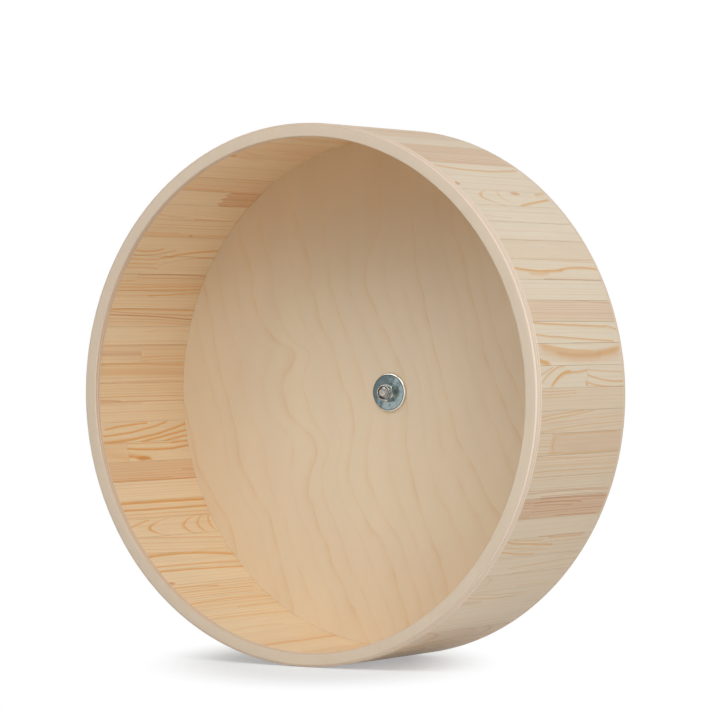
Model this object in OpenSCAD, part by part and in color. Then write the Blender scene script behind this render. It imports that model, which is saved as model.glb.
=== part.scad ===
// Wooden exercise wheel for small rodents: a drum of pine staves between a plywood ring and a
// plywood panel, turning on two ball bearings round an axle that bolts to a cage's wall.
// The axle lies along Y. The open side faces -Y, +Z is up, and the plane y = 0 is the inner
// face of the cage's wall. Each piece is drawn standing on Z, where z is its distance in front
// of that wall, and on_axle() lays it down.

/* [Drum] */
// Outside diameter of the drum
drum_d = 400; // [300:1:500]
// Depth of the drum from the ring's front face to the panel's rear face
drum_depth = 129.5; // [80:0.5:200]
// Thickness of the pine band
band_t = 6; // [5:0.1:9]
// Number of staves round the band
stave_count = 77; // [66:1:88]
// How strongly the hand-fitted edges drift from an even spacing
edge_drift = 1; // [0:0.05:1.2]
// Width of the glue line between two pieces of pine
glue_line = 0.1; // [0.06:0.01:0.15]
// Length of the fingers where two lengths of pine meet
finger_l = 8; // [5:0.5:12]
// Number of fingers through the thickness of the band
finger_count = 2; // [1:1:3]

/* [Front ring] */
// Thickness of the front ring
ring_t = 6.5; // [5:0.1:9]
// Width of the front ring, seen from the front
ring_w = 10; // [9:0.5:20]
// Radius of the ring's outer front edge
ring_edge_r = 2.4; // [1:0.1:3.5]
// Radius of the ring's inner edges
ring_lip_r = 0.8; // [0.4:0.1:1.5]

/* [Rear panel] */
// Thickness of the rear panel
panel_t = 9; // [8:0.1:12]
// Thickness of the panel's edge, which is cut back for the staves
panel_edge_t = 4; // [3:0.1:5]
// Radius of the panel's rear edge
panel_edge_r = 1.2; // [0.4:0.1:2.5]

/* [Hub block] */
// Diameter of the hub block
hub_d = 90; // [76:1:120]
// Thickness of the hub block
hub_t = 15; // [12:0.5:17]
// Bevel of the hub block's rear edge
hub_bevel = 2; // [0.5:0.5:4]
// Bore between the two bearing seats
hub_bore_d = 17; // [15:0.5:19]
// Circle on which the screws stand
screw_circle_d = 64; // [50:1:66]
// Number of screws
screw_count = 4; // [3:1:6]
// Diameter of a screw
screw_d = 3.5; // [3:0.5:4]
// Wood left in front of a screw's tip
screw_cover = 1.5; // [1:0.1:3]
// Diameter of a screw's head
screw_head_d = 7; // [6:0.5:8]

/* [Bearings] */
// Bore of a bearing
bearing_bore_d = 8; // [6:1:8]
// Outside diameter of a bearing
bearing_d = 22; // [20:1:24]
// Width of a bearing
bearing_w = 7; // [6.5:0.5:8]
// Share of the way from a bearing's bore to its outside that is the inner ring
inner_ring_share = 0.293; // [0.27:0.001:0.31]
// Share of the way from a bearing's bore to its outside that is the outer ring
outer_ring_share = 0.257; // [0.22:0.001:0.28]
// Diameter of a ball
ball_d = 3.969; // [3.5:0.001:4]
// Number of balls in a bearing
ball_count = 7; // [6:1:8]
// Thickness of a shield
shield_t = 0.35; // [0.2:0.05:0.5]
// How deep a shield lies in the bearing's face
shield_inset = 0.3; // [0.2:0.05:0.4]
// How deep the front bearing sits in the hub block
front_seat_l = 0.5; // [0.2:0.1:1]
// How far the rear bearing lies in front of the hub block's rear face
rear_inset = 0.5; // [0.2:0.1:1]

/* [Axle] */
// Length of thread behind the wall's inner face
wall_thread_l = 30.7; // [20:0.1:60]
// How far the axle stands out of the lock nut
axle_nose = 0.6; // [0.2:0.1:4]
// Chamfer at the axle's ends
axle_chamfer = 0.7; // [0.3:0.1:1]
// Diameter of the neck between the two threads
axle_neck_d = 7.1; // [6.6:0.1:7.4]

/* [Spacers and washers] */
// Outside diameter of the spacer and shims that touch the inner rings
spacer_d = 11.5; // [10.5:0.1:12]
// Gap between the panel and the large washer, which stands still
panel_clear = 0.3; // [0.3:0.1:1.5]
// Thickness of the rear shim
rear_shim_t = 1.5; // [1:0.1:3]
// Diameter of the large washer in front of the panel
large_washer_d = 30; // [24:1:40]
// Thickness of the large washer
large_washer_t = 1.5; // [1.5:0.1:3]
// Radius of the large washer's front edge
large_washer_edge_r = 1.4; // [0.3:0.1:1.4]
// Diameter of the washer that seats on the cage's wall
wall_washer_d = 30; // [24:1:50]
// Thickness of the washer that seats on the cage's wall
wall_washer_t = 2.5; // [1.5:0.1:4]
// Radius of both edges of the washer that seats on the cage's wall
wall_washer_edge_r = 0.5; // [0.2:0.1:0.7]

/* [Nuts] */
// Width across the flats of both nuts
nut_flats = 13; // [12:0.5:15]
// Height of the shoulder nut
shoulder_nut_h = 6.5; // [5:0.1:8]
// Height of the lock nut, crown and all
lock_nut_h = 7.7; // [7:0.1:9]
// Height of the lock nut's six flats
lock_nut_flats_h = 5.3; // [4.5:0.1:6]
// Diameter of the lock nut's crown
crown_d = 11.6; // [11:0.1:12]
// Diameter of the opening in the crown
crown_mouth_d = 9.6; // [9.2:0.1:10]
// Thickness of the crown's turned-in lip
crown_lip_t = 0.5; // [0.3:0.1:0.8]
// Wall of the crown round the nylon insert
crown_wall = 0.6; // [0.4:0.1:0.8]

/* [Clearances] */
// Gap all round between a ball and its races
race_gap = 0.06; // [0.04:0.01:0.1]
// Gap all round between a ball and its pocket in the cage
pocket_gap = 0.1; // [0.06:0.01:0.2]
// Gap between the shields and what turns past them
shield_gap = 0.3; // [0.2:0.05:0.4]
// Gap between a ball cage and both of the rings
cage_gap = 0.6; // [0.4:0.05:0.7]
// Radial gap between the axle and what is threaded or pushed on it
thread_gap = 0.03; // [0.01:0.01:0.1]
// Radial gap between the axle and a washer
washer_gap = 0.2; // [0.1:0.05:0.5]
// Radial gap between a bearing and its seat in the wood
seat_gap = 0.02; // [0.01:0.01:0.05]
// Gap between a screw and the wood
screw_gap = 0.05; // [0.02:0.01:0.1]

/* [Hidden] */
$fn = 96;

stave_groups = 11;
// Staves made of two lengths: the stave's number and how far back its joint lies
jointed_staves = [
  [0, 0.56], [18, 0.33], [27, 0.6], [31, 0.37], [32, 0.2], [36, 0.47],
  [41, 0.28], [57, 0.66], [71, 0.13], [74, 0.15]
];
// How far the hand-fitted edges run ahead of an even spacing: the angle round the drum and the lead
edge_lead = [
  [0, 1.6], [24, 1.2], [47, 1.25], [56, 1.4], [66, 0.8], [107, 1.25], [122, 1], [127, 1.35],
  [136, 1.2], [145, 2.2], [150, 2.2], [173, 0.3], [187, -0.25], [229, -0.6], [300, 1.95],
  [337, 1.95], [360, 1.6]
];

overcut = 1;
drum_r = drum_d / 2;
band_inner_r = drum_r - band_t;
ring_inner_r = drum_r - ring_w;
axle_r = bearing_bore_d / 2;
bearing_r = bearing_d / 2;
inner_ring_r = axle_r + inner_ring_share * (bearing_r - axle_r);
outer_ring_bore_r = bearing_r - outer_ring_share * (bearing_r - axle_r);
pitch_r = (bearing_bore_d + bearing_d) / 4;
race_r = ball_d / 2 + race_gap;
shield_outer_r = (outer_ring_bore_r + bearing_r) / 2;
// Where the two shields lie, measured from the bearing's rear face
shield_places = [shield_inset, bearing_w - shield_inset - shield_t];
insert_z = lock_nut_flats_h;
insert_h = lock_nut_h - lock_nut_flats_h - crown_lip_t;
insert_r = crown_d / 2 - crown_wall;

// Distances in front of the wall, from the wall to the axle's nose
shoulder_nut_z = wall_washer_t;
rear_shim_z = shoulder_nut_z + shoulder_nut_h;
rear_bearing_z = rear_shim_z + rear_shim_t;
hub_z = rear_bearing_z - rear_inset;
panel_z = hub_z + hub_t;
panel_front_z = panel_z + panel_t;
band_z = panel_z + panel_edge_t;
centre_spacer_z = rear_bearing_z + bearing_w;
front_bearing_z = panel_z - front_seat_l;
front_shim_z = front_bearing_z + bearing_w;
large_washer_z = panel_front_z + panel_clear;
lock_nut_z = large_washer_z + large_washer_t;
axle_front_z = lock_nut_z + lock_nut_h + axle_nose;
drum_front_z = panel_z + drum_depth;
ring_z = drum_front_z - ring_t;
band_l = ring_z - band_z;
screw_l = hub_t + panel_t - screw_cover;

// Lays a piece that stands on Z down on the axle, at a distance in front of the wall
module on_axle(from_wall) {
  rotate([90, 0, 0]) translate([0, 0, from_wall]) children();
}

// A quarter round for the corner of a turned profile, to be taken away from it
module corner_cut(r) {
  difference() {
    square(r + overcut);
    circle(r);
  }
}

// A plain tube
module tube(inner_r, outer_r, h) {
  difference() {
    cylinder(r = outer_r, h = h);
    translate([0, 0, -overcut]) cylinder(r = inner_r, h = h + 2 * overcut);
  }
}

// The plywood ring at the open side
module front_ring() {
  color("wheat") on_axle(ring_z) rotate_extrude() difference() {
    translate([ring_inner_r, 0]) square([ring_w, ring_t]);
    translate([drum_r - ring_edge_r, ring_t - ring_edge_r]) corner_cut(ring_edge_r);
    translate([ring_inner_r + ring_lip_r, ring_t - ring_lip_r]) mirror([1, 0])
      corner_cut(ring_lip_r);
    translate([ring_inner_r + ring_lip_r, ring_lip_r]) mirror([1, 0]) mirror([0, 1])
      corner_cut(ring_lip_r);
  }
}

// Angle of a stave's lower edge: an even spacing with a slow drift, as hand-fitted staves have
function even_edge(i) = 360 * i / stave_count;
function edge_angle(i) = even_edge(i) + edge_drift * lookup(even_edge(i) % 360, edge_lead);
function on_circle(r, angle) = [r * cos(angle), r * sin(angle)];

// One stave's full length of pine, without its end joint
module stave_blank(i) {
  glue_angle = glue_line / 2 / drum_r * 180 / PI;
  low = edge_angle(i) + glue_angle;
  high = edge_angle(i + 1) - glue_angle;
  reach = drum_r + band_t;
  intersection() {
    tube(band_inner_r, drum_r, band_l);
    linear_extrude(band_l) polygon([[0, 0], on_circle(reach, low), on_circle(reach, high)]);
  }
}

// Outline of a finger joint through the band's thickness: x runs outwards, y towards the front
function finger_line() = [
  for (k = [-1 : 2 * finger_count + 1])
    [band_inner_r + k * band_t / (2 * finger_count), abs(k) % 2 == 0 ? 0 : -finger_l]
];

// The region in front of a finger joint whose line on the band's faces lies at height z
module ahead_of_joint(i, z) {
  line = finger_line();
  tall = band_l + 2 * finger_l;
  last = line[len(line) - 1][0];
  middle = (edge_angle(i) + edge_angle(i + 1)) / 2;
  rotate([0, 0, middle]) translate([0, drum_r / 4, z]) rotate([90, 0, 0])
    linear_extrude(drum_r / 2) polygon(concat(line, [[last, tall], [line[0][0], tall]]));
}

// One stave, in one or two lengths of pine
module stave(i) {
  joints = [for (j = jointed_staves) if (j[0] == i) j[1]];
  if (len(joints) == 0) {
    stave_blank(i);
  } else {
    joint_z = band_l * (1 - joints[0]);
    finger_gap = glue_line * 4;
    intersection() {
      stave_blank(i);
      ahead_of_joint(i, joint_z);
    }
    difference() {
      stave_blank(i);
      ahead_of_joint(i, joint_z - finger_gap);
    }
  }
}

// One of the eleven groups of neighbouring staves
module staves(group) {
  first = floor(group * stave_count / stave_groups);
  last = floor((group + 1) * stave_count / stave_groups) - 1;
  color(group % 2 == 0 ? "burlywood" : "navajowhite") on_axle(band_z)
    for (i = [first : last]) stave(i);
}

// The plywood disc that closes the drum's rear, with its middle inside the band
module rear_panel() {
  color("bisque") on_axle(panel_z) difference() {
    rotate_extrude() difference() {
      union() {
        square([drum_r, panel_edge_t]);
        square([band_inner_r - glue_line, panel_t]);
      }
      translate([drum_r - panel_edge_r, panel_edge_r]) mirror([0, 1]) corner_cut(panel_edge_r);
    }
    translate([0, 0, -overcut]) cylinder(r = bearing_r + seat_gap, h = panel_t + 2 * overcut);
    translate([0, 0, hub_z - panel_z]) at_screws() screw_shape(screw_gap);
  }
}

// The block behind the panel that holds both bearings
module hub_block() {
  rear_seat = rear_inset + bearing_w;
  color("tan") on_axle(hub_z) difference() {
    rotate_extrude() polygon([
      [0, 0], [hub_d / 2 - hub_bevel, 0], [hub_d / 2, hub_bevel], [hub_d / 2, hub_t], [0, hub_t]
    ]);
    translate([0, 0, -overcut]) cylinder(r = hub_bore_d / 2, h = hub_t + 2 * overcut);
    translate([0, 0, -overcut]) cylinder(r = bearing_r + seat_gap, h = rear_seat + overcut);
    translate([0, 0, hub_t - front_seat_l])
      cylinder(r = bearing_r + seat_gap, h = front_seat_l + overcut);
    at_screws() screw_shape(screw_gap);
  }
}

// Puts a copy of a piece at each screw
module at_screws() {
  for (k = [0 : screw_count - 1]) rotate([0, 0, 45 + 360 * k / screw_count])
    translate([screw_circle_d / 2, 0, 0]) children();
}

// A countersunk screw that points towards the front, grown all round by a gap for its hole
module screw_shape(gap) {
  head_r = screw_head_d / 2 + gap;
  shank_r = screw_d / 2 + gap;
  tip_l = screw_d;
  head_h = head_r - shank_r;
  translate([0, 0, -gap]) cylinder(r1 = head_r, r2 = shank_r, h = head_h);
  translate([0, 0, -gap]) cylinder(r = shank_r, h = screw_l - tip_l + gap);
  translate([0, 0, screw_l - tip_l - gap]) cylinder(r1 = shank_r, r2 = 0.2 + gap, h = tip_l + gap);
}

// The countersunk screws of the hub block, with a cross in each head
module hub_screws() {
  cross_l = screw_head_d * 0.55;
  cross_w = screw_head_d * 0.14;
  cross_depth = screw_head_d * 0.2;
  color("silver") on_axle(hub_z) at_screws() difference() {
    screw_shape(0);
    for (turn = [0, 90]) rotate([0, 0, turn])
      translate([-cross_l / 2, -cross_w / 2, -overcut])
        cube([cross_l, cross_w, cross_depth + overcut]);
  }
}

// The groove that the balls run in, round both rings
module ball_groove() {
  translate([0, 0, bearing_w / 2]) rotate_extrude() translate([pitch_r, 0]) circle(race_r);
}

// An outer ring, with its groove and a step for each shield
module outer_ring() {
  step_depth = shield_inset + shield_t;
  difference() {
    tube(outer_ring_bore_r, bearing_r, bearing_w);
    ball_groove();
    for (low = [-overcut, bearing_w - step_depth]) translate([0, 0, low])
      cylinder(r = shield_outer_r, h = step_depth + overcut);
  }
}

// The two thin shields of a bearing, which turn with its outer ring
module shields() {
  for (low = shield_places) translate([0, 0, low])
    tube(inner_ring_r + shield_gap, shield_outer_r - seat_gap, shield_t);
}

// An inner ring, with its groove
module inner_ring() {
  difference() {
    tube(axle_r + thread_gap, inner_ring_r, bearing_w);
    ball_groove();
  }
}

// Puts a copy of a piece at each ball of a bearing
module at_balls() {
  for (k = [0 : ball_count - 1]) rotate([0, 0, 360 * k / ball_count])
    translate([pitch_r, 0, bearing_w / 2]) children();
}

// The balls of a bearing
module balls() {
  at_balls() sphere(d = ball_d);
}

// The crown-shaped cage: closed behind the balls and open in front of them
module ball_cage() {
  low = shield_places[0] + shield_t + shield_gap;
  high = bearing_w / 2 + ball_d / 4;
  difference() {
    translate([0, 0, low]) tube(inner_ring_r + cage_gap, outer_ring_bore_r - cage_gap, high - low);
    at_balls() sphere(d = ball_d + 2 * pocket_gap);
  }
}

// The front bearing, in the panel's and the hub block's front seat
module front_outer_ring() { color("lightsteelblue") on_axle(front_bearing_z) outer_ring(); }
module front_shields() { color("lightgray") on_axle(front_bearing_z) shields(); }
module front_balls() { color("white") on_axle(front_bearing_z) balls(); }
module front_ball_cage() { color("olivedrab") on_axle(front_bearing_z) ball_cage(); }
module front_inner_ring() { color("lightsteelblue") on_axle(front_bearing_z) inner_ring(); }

// The rear bearing, in the hub block's rear seat
module rear_outer_ring() { color("lightsteelblue") on_axle(rear_bearing_z) outer_ring(); }
module rear_shields() { color("lightgray") on_axle(rear_bearing_z) shields(); }
module rear_balls() { color("white") on_axle(rear_bearing_z) balls(); }
module rear_ball_cage() { color("olivedrab") on_axle(rear_bearing_z) ball_cage(); }
module rear_inner_ring() { color("lightsteelblue") on_axle(rear_bearing_z) inner_ring(); }

// A piece that is pushed on the axle and touches only the inner rings
module spacer(h) {
  tube(axle_r + thread_gap, spacer_d / 2, h);
}

// The tube that holds the two inner rings apart
module centre_spacer() {
  color("gray") on_axle(centre_spacer_z) spacer(front_bearing_z - centre_spacer_z);
}

// The shim that keeps the large washer clear of the panel
module front_shim() {
  color("gray") on_axle(front_shim_z) spacer(large_washer_z - front_shim_z);
}

// The shim that keeps the shoulder nut clear of the hub block
module rear_shim() { color("gray") on_axle(rear_shim_z) spacer(rear_shim_t); }

// The fixed axle: a thread for the wall, a neck inside the wall washer and a thread for the wheel
module axle() {
  wall_end = -wall_thread_l;
  color("gainsboro") on_axle(0) rotate_extrude() polygon([
    [0, wall_end], [axle_r - axle_chamfer, wall_end], [axle_r, wall_end + axle_chamfer],
    [axle_r, 0], [axle_neck_d / 2, 0], [axle_neck_d / 2, wall_washer_t],
    [axle_r, wall_washer_t], [axle_r, axle_front_z - axle_chamfer],
    [axle_r - axle_chamfer, axle_front_z], [0, axle_front_z]
  ]);
}

// A six-sided nut body with a bevel at the corners of the ends that are asked for
module nut_body(h, bevel_front) {
  corner_r = nut_flats / 2 / cos(30);
  bevel = corner_r - nut_flats / 2;
  rise = bevel * tan(30);
  intersection() {
    rotate([0, 0, 90]) cylinder(r = corner_r, h = h, $fn = 6);
    rotate_extrude() polygon([
      [0, 0], [corner_r - bevel, 0], [corner_r, rise],
      [corner_r, bevel_front ? h - rise : h], [bevel_front ? corner_r - bevel : corner_r, h], [0, h]
    ]);
  }
}

// The nut behind the wheel, which clamps the wall between itself and the owner's outer nut
module shoulder_nut() {
  color("silver") on_axle(shoulder_nut_z) difference() {
    nut_body(shoulder_nut_h, true);
    translate([0, 0, -overcut])
      cylinder(r = axle_r + thread_gap, h = shoulder_nut_h + 2 * overcut);
  }
}

// The lock nut, whose crown is turned in over the insert
module lock_nut() {
  crown_edge_r = crown_wall;
  color("silver") on_axle(lock_nut_z) difference() {
    union() {
      nut_body(lock_nut_flats_h, true);
      rotate_extrude() difference() {
        square([crown_d / 2, lock_nut_h]);
        translate([crown_d / 2 - crown_edge_r, lock_nut_h - crown_edge_r])
          corner_cut(crown_edge_r);
      }
    }
    translate([0, 0, -overcut]) cylinder(r = axle_r + thread_gap, h = lock_nut_h);
    translate([0, 0, insert_z]) cylinder(r = insert_r, h = insert_h);
    translate([0, 0, insert_z]) cylinder(d = crown_mouth_d, h = lock_nut_h);
  }
}

// The nylon ring that grips the axle
module nylon_insert() {
  color("midnightblue") on_axle(lock_nut_z + insert_z)
    tube(axle_r + thread_gap, insert_r - seat_gap, insert_h);
}

// Profile of a round washer with square edges
module washer_profile(d, h) {
  translate([axle_r + washer_gap, 0]) square([d / 2 - axle_r - washer_gap, h]);
}

// The washer that shows in the middle of the panel, with a full round to its front edge
module large_washer() {
  edge_r = large_washer_edge_r;
  color("lightslategray") on_axle(large_washer_z) rotate_extrude() difference() {
    washer_profile(large_washer_d, large_washer_t);
    translate([large_washer_d / 2 - edge_r, large_washer_t - edge_r]) corner_cut(edge_r);
  }
}

// The washer that seats against the cage's wall
module wall_washer() {
  edge_r = wall_washer_edge_r;
  color("lightslategray") on_axle(0) rotate_extrude() difference() {
    washer_profile(wall_washer_d, wall_washer_t);
    translate([wall_washer_d / 2 - edge_r, wall_washer_t - edge_r]) corner_cut(edge_r);
    translate([wall_washer_d / 2 - edge_r, edge_r]) mirror([0, 1]) corner_cut(edge_r);
  }
}

front_ring();
staves(0);  // staves_01
staves(1);  // staves_02
staves(2);  // staves_03
staves(3);  // staves_04
staves(4);  // staves_05
staves(5);  // staves_06
staves(6);  // staves_07
staves(7);  // staves_08
staves(8);  // staves_09
staves(9);  // staves_10
staves(10);  // staves_11
rear_panel();
hub_block();
hub_screws();
front_outer_ring();
front_shields();
front_balls();
front_ball_cage();
front_inner_ring();
rear_outer_ring();
rear_shields();
rear_balls();
rear_ball_cage();
rear_inner_ring();
centre_spacer();
front_shim();
rear_shim();
axle();
large_washer();
lock_nut();
nylon_insert();
shoulder_nut();
wall_washer();
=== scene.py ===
"""Looks of a rodent exercise wheel: a drum of pine staves between a plywood ring and panel.

Lengths are millimetres in the part's own frame unless a name says otherwise. The axle lies
along Y, the open side faces -Y and the plane y = 0 is the inner face of the cage's wall, so
a distance in front of the wall is minus y.
"""

import logging
import math
from dataclasses import dataclass, field, replace
from enum import Enum

import bmesh
import bpy
import numpy as np
from mathutils import Matrix, Vector


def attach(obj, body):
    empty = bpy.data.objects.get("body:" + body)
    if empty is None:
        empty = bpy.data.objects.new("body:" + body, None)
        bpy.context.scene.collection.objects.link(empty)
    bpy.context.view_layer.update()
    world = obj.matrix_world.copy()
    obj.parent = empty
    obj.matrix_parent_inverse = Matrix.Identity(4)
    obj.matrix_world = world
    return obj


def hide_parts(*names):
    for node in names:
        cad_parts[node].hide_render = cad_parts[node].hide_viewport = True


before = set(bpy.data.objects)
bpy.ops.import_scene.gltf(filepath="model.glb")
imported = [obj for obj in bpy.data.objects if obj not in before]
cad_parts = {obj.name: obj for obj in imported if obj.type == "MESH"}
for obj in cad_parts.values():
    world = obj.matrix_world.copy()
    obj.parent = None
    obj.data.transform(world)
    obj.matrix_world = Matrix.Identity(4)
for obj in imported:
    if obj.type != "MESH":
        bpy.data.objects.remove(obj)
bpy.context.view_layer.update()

LOG = logging.getLogger("exercise_wheel")
MM = 0.001
# Points nearer than this, in metres, become one
WELD_M = 1e-7
Colour = tuple[float, float, float]
Point = tuple[float, float, float]
Spot = tuple[float, float]

DRUM_R = 200.0
BAND_INNER_R = 194.0
RING_INNER_R = 190.0
DRUM_FRONT = 154.5
RING_REAR = 148.0
BAND_REAR = 29.0
BAND_L = RING_REAR - BAND_REAR
PANEL_REAR = 25.0
PANEL_FRONT = 34.0
FLOOR_Z = -200.0
# The drum's middle along the axle, which the lamps face
MIDDLE_Y = -90.0
# Steps round the ring and the panel
ROUND_STEPS = 360
# The finish draws this many strong lines on each length of pine
STREAKS = 5


def linear(red: int, green: int, blue: int) -> Colour:
    """Return the linear colour of an 8-bit screen colour."""
    shares = [value / 255 for value in (red, green, blue)]
    return tuple(s / 12.92 if s <= 0.04045 else ((s + 0.055) / 1.055) ** 2.4 for s in shares)


class Value:
    """A number or colour that a node tree works out at each point, for use in plain sums."""

    def __init__(self, shader: "Shader", socket: bpy.types.NodeSocket) -> None:
        """Hold one output of the shader's tree."""
        self.shader, self.socket = shader, socket

    def __add__(self, other: "Number") -> "Value":
        """Return the sum."""
        return self.shader.math("ADD", self, other)

    def __sub__(self, other: "Number") -> "Value":
        """Return the difference."""
        return self.shader.math("SUBTRACT", self, other)

    def __mul__(self, other: "Number") -> "Value":
        """Return the product."""
        return self.shader.math("MULTIPLY", self, other)

    def __truediv__(self, other: "Number") -> "Value":
        """Return the quotient."""
        return self.shader.math("DIVIDE", self, other)


Number = float | Value


class Shader:
    """The node tree of a material or of the surroundings, written in short steps."""

    def __init__(self, name: str, kind: str = "Material") -> None:
        """Start an empty tree.

        Args:
            name: name of the material or surroundings.
            kind: Material or World.
        """
        shelf = bpy.data.materials if kind == "Material" else bpy.data.worlds
        self.owner = shelf.new(name)
        self.owner.use_nodes = True
        self.tree = self.owner.node_tree
        self.tree.nodes.clear()
        self.output = self.tree.nodes.new(f"ShaderNodeOutput{kind}")

    def node(self, kind: str, inputs: dict[str | int, object], **settings: object) -> bpy.types.Node:
        """Add a node.

        Args:
            kind: the node's type.
            inputs: values for its sockets, by name or number.
            settings: the node's own properties.

        Returns:
            The node.
        """
        made = self.tree.nodes.new(f"ShaderNode{kind}")
        for key, value in settings.items():
            setattr(made, key, value)
        for key, value in inputs.items():
            socket = made.inputs[key]
            if isinstance(value, Value):
                self.tree.links.new(value.socket, socket)
            elif isinstance(value, tuple) and len(value) == 3 and len(socket.default_value) == 4:
                socket.default_value = (*value, 1.0)
            else:
                socket.default_value = value
        return made

    def value(self, kind: str, inputs: dict[str | int, object], output: int = 0, **settings: object) -> Value:
        """Add a node and return one of its outputs."""
        return Value(self, self.node(kind, inputs, **settings).outputs[output])

    def show(self, surface: Value) -> None:
        """Take an output as the finished surface."""
        self.tree.links.new(surface.socket, self.output.inputs[0])

    def math(self, operation: str, *values: Number, clamp: bool = False) -> Value:
        """Return the result of a sum on one or two numbers."""
        return self.value("Math", dict(enumerate(values)), operation=operation, use_clamp=clamp)

    def length(self, first: Value, second: Value) -> Value:
        """Return the length of the long side over two that meet square."""
        return self.math("SQRT", first * first + second * second)

    def parts(self, vector: Value) -> list[Value]:
        """Return the three parts of a vector."""
        return [Value(self, part) for part in self.node("SeparateXYZ", {0: vector}).outputs]

    def attribute(self, name: str) -> list[Value]:
        """Return the three parts of a vector that the mesh carries."""
        return self.parts(self.value("Attribute", {}, "Vector", attribute_name=name))

    def vector(self, x: Number, y: Number, z: Number) -> Value:
        """Return a vector of three numbers."""
        return self.value("CombineXYZ", {0: x, 1: y, 2: z})

    def place(self) -> list[Value]:
        """Return the point's place on its piece, in millimetres, in three parts."""
        at = self.value("TexCoord", {}, "Object")
        return self.parts(self.value("VectorMath", {0: at, 1: (1 / MM,) * 3}, operation="MULTIPLY"))

    def noise(self, at: Value, detail: float = 2.0, rough: float = 0.5) -> Value:
        """Return soft noise of a scale of one at a point, from 0 to 1."""
        return self.value("TexNoise", {"Vector": at, "Scale": 1.0, "Detail": detail, "Roughness": rough})

    def noise_at(self, value: Number) -> Value:
        """Return soft noise along a line, from 0 to 1."""
        return self.value("TexNoise", {"W": value, "Scale": 1.0, "Detail": 1.0}, noise_dimensions="1D")

    def chance(self, value: Number) -> Value:
        """Return an even random number for a number, from 0 to 1."""
        return self.value("TexWhiteNoise", {"W": value}, noise_dimensions="1D")

    def spread(self, value: Value, low: Number, high: Number, to_low: float = 0.0, to_high: float = 1.0) -> Value:
        """Return a number carried from one range to another with soft ends."""
        inputs = {0: value, 1: low, 2: high, 3: to_low, 4: to_high}
        return self.value("MapRange", inputs, interpolation_type="SMOOTHSTEP")

    def about(self, value: Value, reach: float) -> Value:
        """Return a 0 to 1 number carried to one side or the other of zero."""
        return (value - 0.5) * (2 * reach)

    def curve(self, value: Value, points: list[Spot], interpolation: str = "LINEAR") -> Value:
        """Return a number read from a line through points.

        Args:
            value: where along the line to read.
            points: place and height of each point, from 0 to 1.
            interpolation: how the line runs between them.

        Returns:
            The height of the line there.
        """
        ramp = self.node("ValToRGB", {0: value})
        ramp.color_ramp.interpolation = interpolation
        steps = ramp.color_ramp.elements
        while len(steps) < len(points):
            steps.new(0.5)
        for step, (place, height) in zip(steps, points):
            step.position = place
            step.color = (height, height, height, 1.0)
        return Value(self, ramp.outputs[0])

    def mix(self, share: Number, first: object, second: object, blend: str = "MIX") -> Value:
        """Return a mix of two colours."""
        return self.value("Mix", {0: share, 6: first, 7: second}, 2, data_type="RGBA", blend_type=blend)

    def shade(self, colour: Value, value: Value) -> Value:
        """Return a colour made darker or lighter by a factor."""
        return self.mix(1.0, colour, self.vector(value, value, value), "MULTIPLY")

    def bump(self, height: Value, depth: float) -> Value:
        """Return the surface's direction for a relief of some millimetres."""
        return self.value("Bump", {"Height": height, "Distance": depth * MM, "Strength": 1.0})

    def finish(self, **inputs: object) -> bpy.types.Material:
        """Give the material its surface.

        Args:
            inputs: values for the surface's sockets, with _ for a space.

        Returns:
            The material.
        """
        self.show(self.value("BsdfPrincipled", {key.replace("_", " "): value for key, value in inputs.items()}))
        return self.owner


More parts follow.
